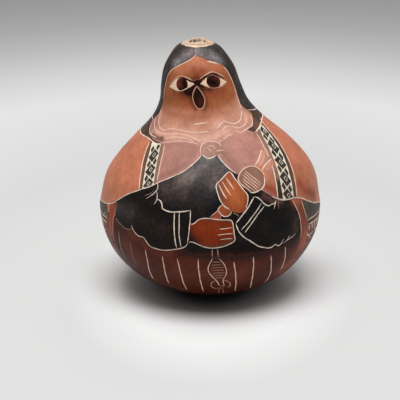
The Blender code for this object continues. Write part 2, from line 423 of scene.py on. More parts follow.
def draw_face(d):
    """Hair line, lids, eyes, the long nose, and the soft burnt shading between them."""
    d.lines([
        ([(-10.7, 99.3), (-10.9, 98.1), (-8.6, 97)], 0.9, "umber", 0.05),
        (FACE_TOP[1:11], 1.0, "petal", 0.06),
        ([(15, 94.9), (24.4, 94.4), (35.1, 93.7), (37, 93.4)], 1.5, "bone"),
        ([(45, 92.4), (50, 90.6), (54, 87.8), (56, 84.5), (55.2, 81), (54.6, 78.6), (52.8, 77),
         (50.1, 75.8)], 1.25, "petal", 0.08),
        (HAIR_LINE[2:6], 1.0),
        ([(286, 70.8), (275, 70.9), (262, 71)], 1.0),
    ])

    left_lid = [
        (-50, 84.7), (-45, 86.2), (-39, 87.6), (-32, 88.5), (-26, 88.6), (-20, 88.0), (-14, 87.3),
        (-7.5, 86.7),
    ]
    left_low = [(-14, 85.6), (-20, 84.7), (-26, 84.0), (-32, 83.8), (-38, 84.0), (-44, 84.3)]
    right_lid = [
        (0.3, 86.8), (5, 87.8), (11, 89), (16, 89.7), (20.5, 89.9), (25, 89.5), (31, 88.6), (43, 86.9),
    ]
    right_low = [(36, 85.9), (30, 85.3), (22, 85), (15, 85.2), (9, 85.7), (4, 86.2)]
    d.area([
        (-26, 84.2), (-20, 84.9), (-12, 86), (-5.5, 86.4), (-8, 84.6), (-11.4, 82.6), (-17, 82.2),
        (-22, 82.9),
    ], "soot")
    d.area([
        (-10, 87.2), (-4, 88.1), (1.6, 88.2), (4, 87.4), (8, 85.8), (3, 85.2), (-2, 85.8), (-6, 86.2),
    ], "soot")
    d.area(left_lid + left_low, "eye", depth=0.05)
    d.area(right_lid + right_low, "eye", depth=0.05)
    d.area(oval(-27.0, 86.25, 9.6, 2.55, 14), "iris")
    d.area(oval(20.6, 87.5, 11.0, 2.65, 14), "iris")
    d.smudges(("iris",), [
        ([(-22.8, 87.4), (-21.8, 85.4)], 1.6, "pupil", 1.0),
        ([(-26, 84.2), (-32, 84.4)], 0.9, "pupil", 0.85),
        ([(13.6, 87.4), (21.5, 86.8)], 2.5, "pupil", 1.0),
        ([(12, 89.4), (22, 90)], 1.0, "pupil", 0.8),
    ])
    d.lines([
        ([(-50, 84.7)] + left_low[::-1] + [(-7.5, 86.7)], 0.8),
        ([(0.3, 86.8)] + right_low[::-1] + [(43, 86.9)], 0.7, "blush"),
        (left_lid[:4], 0.6, "eye"),
        (right_lid, 0.6, "blush"),
        ([(-50, 85.5), (-44.5, 86.9), (-38, 88.4), (-31, 89.4), (-25, 89.3), (-17, 88.7), (-10, 87.9)], 0.9,
         "petal"),
        ([(0.5, 88.5), (5, 89.4), (12, 90.3), (18, 91.0), (23, 90.9), (30, 90.2), (36, 89.4), (40, 88.6)],
         0.95, "petal"),
        ([(-27, 88.9), (-18, 88.2), (-11, 87.4), (-8, 87.1), (-5, 86.9)], 1.7, "soot", 0.0),
        ([(-2, 87.5), (0, 87.9), (5, 88.6), (12, 89.6), (18, 90.2), (24, 90.2), (32, 89.2), (39, 87.9)],
         1.6, "pupil", 0.0),
    ])
    nose = [
        (-4.7, 85.8), (-1.2, 84.5), (1.6, 83.2), (3.8, 81.4), (3.3, 79.9), (0.4, 78.1), (-4, 77.5),
        (-7.8, 78),
    ]
    nose += [(-10.6, 79.8), (-11.6, 81.8), (-10.2, 83.4), (-7.6, 84.8)]
    d.area(nose, "soot")
    d.line(nose, 1.0, "blush", closed=True)
    d.smudge([(-2.2, 80.6), (-1.2, 79.2)], 1.1, "iris", 0.35, ("soot",))

    d.smudges(("face",), [
        ([(-35, 92), (-20, 93.6), (-4, 94.6)], 3.4, "terracotta", 0.9),
        ([(6, 94.6), (18, 93.8), (38, 91.6)], 3.2, "terracotta", 0.6),
        ([(-60, 73), (-40, 72), (-15, 72), (10, 73), (30, 74.5), (47, 76)], 3.2, "chin", 1.0),
        ([(-63, 74), (-60, 71), (-52, 69.8), (-38, 69.9), (-15, 69.6), (0, 69.9), (9, 71.3), (16, 72.6),
         (28, 72.4), (40, 73.4), (51, 76.4), (54, 79)], 1.9, "collar", 0.8),
        ([(-50, 76.4), (-20, 75.8), (20, 76.4), (45, 78)], 1.6, "chin", 0.5),
        ([(-27, 82.9), (-18, 82.4), (-11, 82.0)], 1.5, "soot", 0.92),
        ([(-14, 81.6), (-13.4, 79.6), (-9.5, 77.4)], 0.9, "soot", 0.7),
        ([(-12, 88.1), (-5, 88.9), (2, 89)], 0.8, "soot", 0.7),
        ([(-1, 85.0), (6, 84.5), (13, 84.3)], 1.25, "soot", 0.95),
        ([(14, 84.6), (24, 84.5)], 0.6, "soot", 0.6),
        ([(4.4, 84), (5.6, 81.4), (4.6, 79), (1, 76.9)], 0.9, "soot", 0.6),
        ([(-38, 83), (-30, 82), (-18, 80.5)], 1.5, "rust", 0.6),
        ([(8, 82.6), (20, 82.8), (32, 83.8)], 1.8, "rust", 0.75),
        ([(-8, 91.6), (-4, 90.4), (4, 91.4)], 1.4, "rust", 0.7),
        ([(-62, 80), (-61, 85), (-56, 89)], 0.9, "rust", 0.7),
        ([(-12, 78), (0, 75.6), (16, 78)], 2.0, "rust", 0.35),
    ])


def draw_collar(d):
    """Folds of the neckline, the knot of the cloak, and the shading of the blouse."""
    folds = [
        [(-15, 72.2), (-10, 72.3), (-4, 72.6), (2, 73)],
        [(-66, 75.4), (-64.6, 73.6), (-61, 71.6), (-56, 70), (-50.1, 69.2), (-45.7, 69.1), (-37.3, 69.8),
         (-28.8, 69.9), (-20, 69.6), (-5.7, 69.7), (2, 70)],
        [(-72.6, 72.1), (-68.8, 70.8), (-62, 69.1), (-55, 68.0), (-45.8, 67.8), (-35.4, 68.3),
         (-25.1, 68.7), (-16, 68.1), (-7.2, 66.8)],
        [(-76, 70.7), (-69.4, 68.2), (-63, 66.9), (-57.9, 66.4), (-50, 66.2)],
        [(-42, 66.4), (-38.2, 66.7), (-29.8, 67.6), (-20.9, 67.5), (-12.6, 66.8)],
        [(-42.3, 64.9), (-36, 65.6), (-30.2, 66.1), (-22.1, 66.6), (-14, 66.3), (-8.3, 65.9)],
        [(8, 70.7), (12.5, 71.7), (16, 72.5), (19.6, 72.9), (24.9, 72.2), (28.5, 71.9), (33.5, 72.2),
         (39.3, 72.8), (45.7, 74.5), (50.1, 75.8)],
        [(13.4, 70.4), (18.5, 71.2), (22, 71.4), (25.6, 71.1), (29.8, 70.5), (34.9, 70.6), (40.1, 71),
         (46.4, 72.3), (49.6, 73.4)],
        [(11, 67.4), (17, 68.3), (22.6, 69)],
        [(26, 69.6), (30.1, 69), (35, 69.3), (39.7, 69.7), (46.1, 70.1), (51, 71), (54.4, 71.8),
         (57.6, 73.2)],
    ]
    for number, fold in enumerate(folds):
        d.line(fold, 1.0 if number % 3 else 1.25, "petal", 0.12)
    knot = [
        (-8.1, 64.5), (-6.5, 65.9), (-2.3, 66.8), (3.6, 66.9), (7.2, 66.2), (7.8, 65.2), (6.4, 63.9),
        (4.1, 62.9), (0.8, 62.1), (-2.5, 61.8), (-5.5, 62.4), (-7.6, 63.2),
    ]
    d.area(knot, "knot")
    d.lines([
        (knot[-1:] + knot[:6], 1.1, "petal"),
        (knot[7:], 1.05),
        ([(-3.3, 65.4), (-1.8, 64.6), (1.1, 63.7)], 0.85, "petal"),
        ([(-2.9, 65.1), (-0.3, 65.6), (3, 65.4), (3.3, 64.9), (0.6, 64.6)], 0.85, "petal"),
        ([(2.8, 63.9), (5.6, 64.1), (8.9, 64.2), (10.1, 63.7)], 0.8, "petal", 0.1),
        ([(4.4, 63.1), (6.1, 62.7), (8, 62.7)], 0.7, "petal", 0.1),
        ([(6.6, 66.4), (8.7, 66.9), (10.8, 67.3)], 0.9, "petal", 0.1),
    ])
    d.smudges(("blouse",), [
        ([(-55, 67.6), (-40, 67.4), (-20, 68), (0, 68), (18, 69.8), (40, 71.5), (54, 74)], 2.5, "collar",
         1.0),
        ([(-57, 66.6), (-50, 66.2), (-43, 66.2)], 1.0, "umber", 0.95),
        ([(-42, 65.6), (-36, 65.9)], 0.5, "umber", 0.35),
        ([(44, 71.4), (53, 72.4), (58, 74.6)], 1.1, "terracotta", 0.45),
        ([(31, 57.2), (34, 54.4), (35, 51)], 2.3, "terracotta", 0.85),
        ([(28, 52), (33, 50.4), (36, 48.4)], 1.9, "rust", 0.95),
        ([(-20, 62), (-12, 63.5)], 2.4, "dusk", 0.3),
        ([(-32, 54.5), (-24, 57), (-14, 60.5)], 1.3, "dusk", 0.4),
        ([(8, 63), (13, 60.5), (14, 58)], 2.0, "dusk", 0.4),
        ([(45, 67.5), (52, 68.6), (56, 71)], 0.9, "umber", 0.5),
    ])
    d.smudge([(50, 69.8), (58, 71)], 1.8, "dusk", 0.55, ("umber",))


def lattice_band(d, left, right, cells=None):
    """A woven band between two edges, which are given where its pale threads cross.

    The ground is pale. Each cell has a dark diamond with a thin pale ring in it, and each crossing has a
    small dark lozenge on either side. cells is a range of the cells to draw, or all of them.
    """
    left, right = np.array(left, float), np.array(right, float)
    last = len(left) - 1
    places = np.arange(last + 1)

    def at(across, along):
        edge = [np.array([np.interp(along, places, side[:, k]) for k in (0, 1)]) for side in (left, right)]
        return tuple(edge[0] + (edge[1] - edge[0]) * across)

    def lozenge(across, along, wide, tall):
        sides = [(-wide, 0.0), (0.0, tall), (wide, 0.0), (0.0, -tall)]
        return [at(across + aside, along + ahead) for aside, ahead in sides]

    stops = np.linspace(0, last, 2 * last + 1)
    d.area([at(0.0, k) for k in stops] + [at(1.0, k) for k in stops[::-1]], "bone", smooth=False, depth=0.06)
    for cell in cells or range(last):
        d.area(lozenge(0.5, cell + 0.5, 0.47, 0.455), "coal", smooth=False)
        d.line(lozenge(0.54, cell + 0.47, 0.14, 0.15), 0.62, "bone", 0.05, closed=True, smooth=False)
    for crossing in range(1, last):
        for across in (0.24, 0.77):
            d.area(lozenge(across, crossing, 0.185, 0.27), "coal", smooth=False)


def draw_bands(d):
    """The two woven bands over the chest, with the dark strips and pale lines along them."""
    outer = [(-54.5, 64.3), (-51.8, 60.9), (-47.6, 57), (-43.8, 53), (-40.9, 49.3)]
    inner = BAND_LEFT_INNER
    left = [(-53.7, 66.1), (-48.9, 62.1), (-44.6, 57.4), (-41.1, 52.9), (-38.2, 48.4)]
    right = [(-45.6, 68.1), (-41.2, 64.1), (-37.9, 59.6), (-35.0, 55.2), (-32.5, 50.6)]
    d.area([(-55, 65.6)] + outer + left[::-1], "loam", smooth=False)
    d.area([(-39.2, 66.6)] + inner + right[::-1], "mauve", smooth=False)
    lattice_band(d, left, right, range(1, 4))
    d.lines([
        (outer, 1.5, "petal"),
        (inner, 1.1, "petal", 0.1),
    ])

    left = [(57.2, 70.3), (48.9, 66.6), (44.4, 61.6), (41.9, 56.8), (39.9, 51.0), (39.4, 45.1)]
    right = [(63.0, 68.9), (56.8, 64.3), (52.7, 58.9), (49.7, 54.1), (47.8, 48.3), (47.2, 42.6)]
    outer = [
        (71, 71.5), (65.4, 68.2), (60.9, 64.3), (57.2, 60.3), (54.9, 56.9), (52.8, 52.9), (51.0, 49.0),
        (50.0, 45.2),
    ]
    inner, lower = BAND_RIGHT_INNER, BAND_RIGHT_LOWER
    d.area(right + outer[::-1], "umber", smooth=False)
    d.area(inner + [(41.4, 57.6)] + left[2::-1] + [(49, 68.6)], "mauve", smooth=False)
    d.area(lower + [(39.2, 45.6)] + left[4:2:-1], "coal", smooth=False)
    lattice_band(d, left, right)
    d.lines([
        ([(45.6, 68.2), (52, 68.9), (58, 69.6)], 1.2),
        (outer, 1.55, "petal"),
        (inner, 1.25, "petal", 0.1),
        (lower, 1.4, "bone"),
        ([(42.4, 63.4), (41.6, 60.6), (41.3, 58.2)], 0.7, "blush", 0.08),
    ])
    d.smudge([(40.6, 58.4), (39.4, 54)], 1.3, "mauve", 0.9, ("coal",))
    d.smudge([(53, 54.6), (50.8, 48.6), (50, 45.6)], 1.6, "loam", 0.9, ("umber",))
    d.smudge([(54.6, 49.6), (59, 46.2), (70, 42.4)], 2.6, "rust", 0.92, ("terracotta",))


def draw_cloak(d):
    """The dark cloak with its two wide sleeves, and the strips of the gown at its sides."""
    d.area([
        (-55.8, 42.6), (-62.4, 40.4), (-61.8, 36.3), (-62.6, 33), (-63, 27), (-61.4, 20), (-58, 22),
        (-57.4, 28), (-55.2, 38),
    ], "rust")
    d.area([
        (45.8, 45.4), (53.4, 44), (55.9, 37.7), (57.1, 35), (59.7, 32.4), (58.6, 28.4), (61, 24), (59, 19),
        (53, 22), (52.4, 29), (51.2, 35), (49.6, 40),
    ], "rust")
    d.smudges(("rust",), [
        ([(-60, 21), (-60, 25)], 3.2, "skirt", 0.85),
        ([(56, 19.5), (60, 20)], 3.0, "skirt", 0.7),
        ([(53, 40), (55, 36), (56, 32)], 2.4, "umber", 0.4),
        ([(47, 44.6), (51, 43.4)], 1.4, "terracotta", 0.5),
    ])
    d.smudge([(58, 30), (57, 25)], 2.2, "terracotta", 0.3, ("rust", "skirt"))
    sleeve_foot = [
        (52.4, 29), (47.5, 28.2), (40, 27), (30, 26.8), (20, 27), (10, 27.2), (0, 27.8), (-8, 28.4),
        (-13, 30.2), (-20, 28.8), (-25, 28.4), (-29, 28.8), (-30.5, 29.4), (-32.1, 30.7), (-33.8, 32.3),
        (-36.5, 32.4), (-39.7, 33.9), (-41.4, 34.8), (-46.1, 33.9), (-49, 34.7), (-52.2, 35.7),
        (-54.1, 36.5),
    ]
    cloak = CLOAK_LEFT[5:] + [(-2, 62.2)] + CLOAK_RIGHT[:11] + [(45.8, 44.9), (48.4, 42), (50.4, 38.6),
        (51.4, 35)]
    d.area(cloak + sleeve_foot + [(-55.8, 38.6)], "black", smooth=False)
    d.lines([
        (CLOAK_LEFT, 1.05),
        (CLOAK_RIGHT[:4], 1.0),
        (CLOAK_RIGHT[6:], 1.2),
    ])

    # Left sleeve: gathered folds at the elbow, the cuff, and the scalloped lower edge.
    d.lines([
        ([(-31.2, 53), (-29.9, 51), (-31.5, 48.8), (-34.8, 46.8)], 0.85),
        ([(-31.5, 50.6), (-33, 49), (-36.6, 47.6)], 0.6, "ash", 0.08),
        ([(-29.8, 50), (-28.8, 48.6), (-28.4, 47), (-29.8, 45.2)], 0.8),
        ([(-28.4, 47.6), (-26.2, 47), (-25, 45.6), (-24.4, 44.3), (-20, 43.6), (-15, 43.9), (-10, 44.7)],
         1.2),
        ([(-10, 44.9), (-9.8, 40), (-10.1, 36), (-10.6, 32.6)], 0.9),
        ([(-18, 43.5), (-17.2, 37), (-16.1, 30)], 1.1),
        ([(-15.4, 43.7), (-14.8, 37), (-13.9, 30.6)], 0.95),
        ([(-10.4, 32.6), (-12, 30.9), (-16, 29.7), (-20, 28.9), (-25, 28.5), (-29, 28.9), (-30.5, 29.5),
         (-32.1, 30.8), (-33.8, 32.3), (-36.5, 32.4), (-39.7, 33.9), (-41.6, 35.9)], 0.95),
        ([(-41.2, 34.2), (-46.1, 33.8), (-49, 34.7), (-52.2, 35.7), (-54.1, 36.5)], 0.8, "fleck"),
        ([(-55.4, 42.4), (-55.6, 38.6), (-56.6, 35.2), (-57.9, 29.7), (-58.2, 25.7)], 0.75, "blush", 0.1),
    ])

    # Right sleeve: the slanting cuff and the frayed lower edge.
    d.line([(22.4, 48.8), (19, 45.6), (15, 42), (12.3, 39.9)], 1.25, smooth=False)
    d.lines([
        ([(12.3, 39.9), (13.6, 36.9), (16.4, 34.4), (19.4, 32.6), (22.3, 30.9), (25.2, 29.5), (29.3, 28.4),
         (32.1, 28.5), (33.9, 29.2), (36.1, 28.2), (38.2, 29)], 1.15),
        ([(37.2, 28.8), (39.5, 30.6)], 0.7),
        ([(38, 28.6), (41, 29.5), (43.4, 31.4)], 0.7),
        ([(40.2, 29.4), (44.7, 30.2), (47.9, 31.4)], 0.75),
        ([(26, 46.2), (20.2, 41.2), (15, 37.2)], 1.0),
        ([(27.6, 45.2), (22, 40.8), (16.8, 36.1)], 1.0),
        ([(22.3, 48.8), (24.2, 48.3), (26, 47.2), (27.4, 45.9), (29.7, 44.8), (31.7, 45.2), (33.4, 45.3),
         (35, 46.2)], 1.1),
        ([(34.6, 45.8), (33.1, 43.3)], 0.9),
        ([(36.3, 46.4), (35.9, 42.9)], 0.75, "fleck"),
        ([(45.8, 44.9), (48.2, 42), (50.2, 38.6), (51.2, 35), (52.2, 31.7), (52.6, 28.6)], 1.0, "petal",
         0.1),
        ([(53.6, 43.6), (54.8, 40.6), (56.1, 37.7), (57.3, 35.3)], 1.0, "petal", 0.1),
    ])

    # The grey patches on the black are painted highlight: the overhead light's sheen on the cloak's upper
    # slopes and on the left sleeve.
    d.smudges(("black",), [
        ([(-3, 61.5), (-8, 58.5), (-16, 55.5)], 3.6, "haze", 0.75),
        ([(6, 58.6), (1, 55)], 3.6, "haze", 0.4),
        ([(-26, 52), (-15, 51.5)], 3.4, "haze", 0.15),
        ([(-12, 55), (-6, 53.6), (-3, 52)], 3.4, "haze", 0.11),
        ([(-22, 48.4), (-12, 48), (-3, 48)], 3.8, "haze", 0.06),
        ([(45.4, 44.8), (47.2, 42.8)], 0.9, "rust", 0.8),
        ([(10, 29.2), (20, 29), (30, 29.4)], 2.4, "pupil", 0.7),
        ([(-52, 40), (-44, 41)], 3.4, "haze", 0.16),
        ([(28, 48.6), (33, 46.6), (38, 45.4)], 1.3, "dusk", 0.42),
        ([(44, 43.6), (48, 41)], 2.0, "umber", 0.3),
        ([(47, 37), (47, 33)], 2.2, "umber", 0.35),
        ([(-22, 36), (-34, 40)], 3.0, "umber", 0.15),
        ([(-6, 28.2), (5, 27.3), (20, 26.6), (38, 26.8), (48, 28)], 1.2, "skirt", 0.6),
    ])


def draw_hands(d):
    """The two hands, one over the other."""
    wrist = [(0, 42), (3, 44), (5.5, 46.5), (5, 44), (5, 41.6)]
    d.area(wrist, "rust", smooth=False)
    d.lines([
        ([(-0.4, 42.3), (2.0, 43.8), (4, 45.2)], 0.9, "petal"),
        ([(4.9, 43.4), (4.8, 41.8)], 0.65, "blush"),
    ])
    upper = [
        (10.5, 57.4), (7, 56.1), (4.4, 54.6), (2.3, 53.2), (3.2, 50.6), (5, 47.9), (7, 46), (9.4, 44.8),
        (12, 43.8), (15.5, 43.6), (18.3, 45.6), (18.4, 48), (18.6, 50), (16.4, 52), (13.4, 54.6),
    ]
    d.area(upper, "hand")
    d.line([(9.6, 44.9), (7, 46), (5, 47.9), (3.2, 50.6), (2.3, 53.2), (4.4, 54.8), (7, 56.2), (10.4, 57.4),
        (13.2, 55), (16, 52.2), (18.6, 50), (18.9, 48.6), (18.2, 46.4), (17.6, 45.6), (19, 44.9)], 1.0)
    thumb = [(5.6, 46.8), (3.4, 45.2), (4.8, 43.6), (6.6, 42.6), (9.2, 42.9), (10.4, 44.3)]
    d.area(thumb + [(8, 45.2)], "hand")
    d.lines([
        (thumb, 0.95),
        ([(3.4, 53.7), (5.7, 51.1), (8.0, 48.5)], 1.0),
        ([(5.5, 54.6), (7.8, 52.1), (10.1, 49.7)], 0.85),
        ([(7.7, 55.9), (9.9, 53.6), (11.8, 51.6)], 0.9),
        ([(10.8, 43.8), (12.8, 43), (14, 42.2)], 0.7, "blush"),
    ])
    lower = [
        (-10, 39.6), (-7.8, 39.9), (-6.4, 41.1), (-4, 41.9), (1, 41.8), (6, 41.3), (10, 41), (11, 39.4),
        (11.4, 36), (11.9, 33.4), (9, 32), (5, 31), (1, 30.7), (-4, 31.5), (-8.4, 33.1), (-10.2, 32.6),
    ]
    d.area(lower, "palm")
    d.line(lower, 0.95)
    for height, start in ((38.2, 4.2), (36.1, 3.4), (34.2, 4.6)):
        d.line([(start, height - 0.2), (8, height), (11, height + 0.1)], 0.8)
    d.smudges(("hand",), [
        ([(11, 51.5), (14, 48)], 2.4, "amber", 0.9),
        ([(3, 53.4), (3.6, 51), (5.4, 48.4)], 0.95, "umber", 0.85),
        ([(5.4, 48.4), (7.6, 46.4), (10, 45)], 0.7, "rust", 0.6),
        ([(6.4, 55.6), (9.6, 57)], 0.9, "rust", 0.8),
        ([(18, 49.6), (17.6, 46), (15, 43.9)], 0.8, "rust", 0.8),
        ([(5, 45), (8, 43.4)], 0.8, "rust", 0.7),
    ])
    d.smudges(("palm",), [
        ([(-4, 38.6), (3, 39)], 1.8, "hand", 0.2),
        ([(-11, 37), (-9.4, 34.6), (-7, 33)], 1.9, "black", 1.0),
        ([(-6, 32), (-1, 31), (4, 31), (10, 33)], 0.9, "umber", 0.75),
        ([(-5, 41.4), (4, 41.2), (10.6, 40)], 0.6, "umber", 0.5),
    ])


def draw_distaff(d):
    """The ball of yarn in the forked distaff, and the spindle that hangs below the hands."""
    d.area([(27.4, 58.7), (38.2, 62.9), (39.4, 61.6), (29.1, 58.1)], "chin", smooth=False)
    d.area([(30.8, 56.9), (41.6, 59.6), (41.2, 58.0), (32.7, 56.6)], "chin", smooth=False)
    d.lines([
        ([(27.4, 58.7), (32, 60.4), (38.2, 62.9)], 1.15),
        ([(29.4, 58.2), (33.6, 59.4), (38.2, 61.2)], 0.75, "petal"),
        ([(30.8, 56.9), (35.4, 58.5), (41.7, 59.8)], 1.15),
        ([(32.7, 56.6), (37, 57), (41.1, 58.0)], 0.75, "petal"),
    ])
    ball = [
        (14.8, 54.5), (16.5, 56.8), (20, 58.2), (24.6, 58.6), (27.8, 58.2), (30.4, 56.7), (31, 54.9),
        (29.4, 52.4), (27.1, 51), (23.3, 50.2), (20.2, 50.4), (18, 51.8),
    ]
    d.area(ball, "yarn")
    d.lines([
        (ball[-1:] + ball[:7], 1.15, "petal"),
        (ball[6:11], 1.2),
    ])
    # The wound yarn: parallel bars across the ball, 5 mm in radius. One degree is two thirds of a mm here.
    for turn in range(9):
        aside = -4.1 + 1.02 * turn
        half = 0.8 * math.sqrt(25.0 - aside**2)
        middle = (22.9 + 0.95 * aside, 54.4 + 0.65 * aside)
        ends = [(middle[0] + side * 1.07 * half, middle[1] - side * 0.66 * half) for side in (-1, 0, 1)]
        d.line(ends, 0.95 if turn < 6 else 0.7, "petal" if turn < 6 else "scratch", 0.14)
    d.smudge([(17, 53), (22, 50.8)], 1.2, "umber", 0.7, ("yarn",))

    d.lines([
        ([(1, 30.4), (1.1, 28.4), (1.2, 26.6)], 0.85, "blush"),
        ([(3.6, 30.4), (3.8, 28.4), (4, 26.6)], 0.85, "blush"),
    ])
    left = [
        (1.3, 26.4), (0, 24.3), (-0.9, 21.9), (-0.6, 19.9), (0.9, 17.8), (3.2, 15.9), (4.5, 14.2),
        (5.2, 12.9), (6.6, 12.3),
    ]
    right = [
        (4, 26.4), (5.9, 24.9), (7.5, 22.9), (8.4, 20.5), (8.5, 18), (7.3, 15.8), (7.8, 13.9), (8.8, 12.1),
    ]
    d.area(left + right[::-1], "skirt")
    d.lines([
        (left, 1.0, "petal"),
        (right, 0.85, "petal"),
        ([(1.4, 26.3), (2.7, 26.6), (4, 26.3)], 0.6, "scratch"),
        ([(6.6, 12.3), (8, 12.2), (9, 11.8)], 0.8, "petal"),
    ])
    # The wound thread: seven bars, as wide as the spindle's body is at each height.
    for step in range(7):
        height = 24.6 - 1.3 * step
        middle = 3.2 + 0.28 * step
        half = 2.3 + 1.4 * math.sin(math.pi * (step + 0.8) / 8)
        d.line([(middle - half, height - 0.15), (middle, height + 0.1), (middle + half, height + 0.05)],
            0.8, "fleck", 0.1)
    d.lines([
        ([(3.8, 15.2), (1.9, 15), (0.7, 13.5), (1, 11.9), (2.6, 10.9), (5.3, 10.7), (8.5, 10.9)], 0.9,
         "blush"),
        ([(7.5, 15.4), (9.4, 15.1), (11.5, 13.9), (12.3, 12.5), (11.8, 11.3), (10, 11.1)], 0.9, "blush"),
        ([(5.9, 10.3), (6.4, 8), (7, 6.2)], 0.75, "blush"),
        ([(8.3, 10.4), (9.2, 8), (10.5, 5.9)], 0.75, "blush"),
    ])


def draw_skirt(d):
    """Pleats all round, each a single cut that thins out and leans away from the middle of the front."""
    pleats = [
        [(-33.6, 27.2), (-34, 21.8), (-37.9, 11.9)],
        [(-24, 25.8), (-24.7, 18.8), (-26.5, 11.4)],
        [(-16.2, 25.6), (-15.7, 17.9), (-16, 8.4)],
        [(-5.9, 26), (-5.6, 17.7), (-4.4, 8.1)],
        [(11.8, 24.6), (14.1, 17.2), (18.1, 7.5)],
        [(21.9, 25.7), (25.2, 13.8), (30, 7.8)],
        [(32.1, 24.8), (33.9, 20.7), (36.8, 15), (39.6, 9.4)],
        [(40.9, 27), (42.8, 22.2), (44.7, 15.4)],
    ]
    for pleat in pleats:
        d.line(pleat, 1.15, "petal")
    d.lines([
        ([(-51.5, 31.6), (-52.2, 27.1), (-53.2, 22), (-52.6, 19)], 0.9, "blush", 0.12),
        ([(-43.1, 29.6), (-43.7, 24.1), (-44.2, 18)], 0.8, "scratch", 0.1),
    ])
    for turn in range(25):
        azimuth = 64.5 + 9.7 * turn
        top = 23.6 + 0.9 * math.sin(2.3 * turn)
        d.line([(azimuth, top), (azimuth + 0.6, 19), (azimuth + 0.4, 12), (azimuth - 0.6, 7.4)], 1.1,
            "petal")
    # The ring's black smudge darkens the foot all round: painted shade where the gourd stands on the floor.
    ring = [(azimuth, 2.5 + 1.5 * math.sin(azimuth / 40)) for azimuth in range(-160, 220, 12)]
    d.smudges(("skirt",), [
        (ring, 3.4, "black", 0.9),
        ([(-16, 19), (0, 18), (16, 19)], 5.5, "madder", 0.65),
        ([(-13, 28.6), (0, 27), (20, 26.2), (40, 26.4), (50, 28)], 1.5, "black", 0.75),
        ([(-46, 32.6), (-53, 33)], 1.6, "black", 0.5),
        ([(-20, 27.4), (-28, 27), (-36, 30.4), (-42, 32)], 1.7, "madder", 0.75),
        ([(-54, 28), (-52, 18), (-44, 9)], 3.6, "black", 0.5),
        ([(-38, 24), (-46, 26)], 3.6, "madder", 0.5),
        ([(-67, 31), (-66, 26)], 2.6, "rust", 0.6),
        ([(34, 20), (22, 10)], 3.6, "black", 0.3),
        ([(-33, 22), (-28, 17)], 3.2, "black", 0.25),
        ([(-38, 11), (-28, 9), (-20, 8)], 3.6, "madder", 0.4),
        ([(-38, 11), (-28, 9), (-20, 8)], 3.6, "umber", 0.4),
        ([(58, 26), (54, 20), (48, 15)], 3.8, "rust", 0.68),
        ([(64, 30.5), (72, 30), (84, 30.4)], 2.0, "rust", 0.85),
    ])
    for azimuth in range(110, 290, 36):
        d.smudge([(azimuth, 22), (azimuth + 4, 15)], 5.0, "madder", 0.55, ("skirt",))


def draw_mantle(d):
    """What the front only shows the edges of: the mantle round the sides and back, its hem and its fringe."""
    d.lines([
        (MANTLE_TOP, 1.2), ([(83, 36.6), (92, 36.2), (120, 36.4), (150, 36.8), (180, 37), (210, 37),
        (240, 37), (268, 37)], 1.15),
    ], )
    hem = [
        (53.4, 43.8), (62, 41), (68, 39.3), (75, 38), (92, 36.2), (180, 37), (268, 37), (281, 37.8),
        (294, 39.5),
    ]
    hem += [(297.4, 36.3), (296.5, 33.4), (280, 33.4), (180, 34.2), (92, 33.9), (72, 34.3), (57.4, 34.7)]
    d.area(hem, "slate", smooth=False)
    around = [
        (110, 34.2), (145, 34.6), (180, 34.6), (215, 34.6), (250, 34.4), (275, 34.1), (288, 34),
        (295.6, 34.2),
    ]
    lower = [(azimuth, height - 2.0) for azimuth, height in around]
    d.lines([
        ([(57.2, 34.7), (64.4, 34.6), (72.2, 34.5), (82, 34.2)] + around, 1.3), ([(59.7, 32.6), (65, 32.4),
        (73.4, 32.2), (82, 32.2)] + lower, 1.5), ([(288.9, 33.9), (292, 35), (294, 35.9), (295.7, 34.2),
        (294.8, 32.6)], 0.85, "blush"),
    ], )
    for strand in range(64):
        azimuth = 60 + 3.62 * strand
        sway = 0.7 * math.sin(1.7 * strand)
        d.line([(azimuth, 32.4), (azimuth + 0.4, 31.2), (azimuth + 0.9 + sway, 29.6)], 2.1, "bone")
    for tuft in range(23):
        azimuth = 59 + 10.1 * tuft + 0.8 * math.sin(2.1 * tuft)
        d.lines([
            ([(azimuth, 29.2), (azimuth + 2.6, 27.2), (azimuth + 5.2, 27.3), (azimuth + 9, 27.9)], 1.7),
            ([(azimuth + 4.4, 25.9), (azimuth + 8.6, 25.2)], 1.3, "petal"),
        ])


def draw_back(d):
    """The back of the head with its parting, two long plaits, and the two woven bands of the mantle."""
    d.line([(180, 99.2), (180.6, 92), (179.6, 86), (180.2, 79), (180, 73.6)], 0.9, "ash")
    last = 7
    for side in (-1, 1):
        edges = []
        for edge in (-1, 1):
            points = []
            for k in range(last + 1):
                middle = 180 + side * (58 + 4 * (k / last) ** 3)
                points.append((middle + edge * (3.8 + 0.5 * (k / last) ** 2), 37.2 + 4.25 * k))
            edges.append(points)
            beside = [(azimuth + edge * (2.2 + 0.06 * k), height) for k, (azimuth, height) in
                enumerate(points)]
            d.line(beside, 1.0, "blush")
        lattice_band(d, *edges)
        draw_plait(d, side)


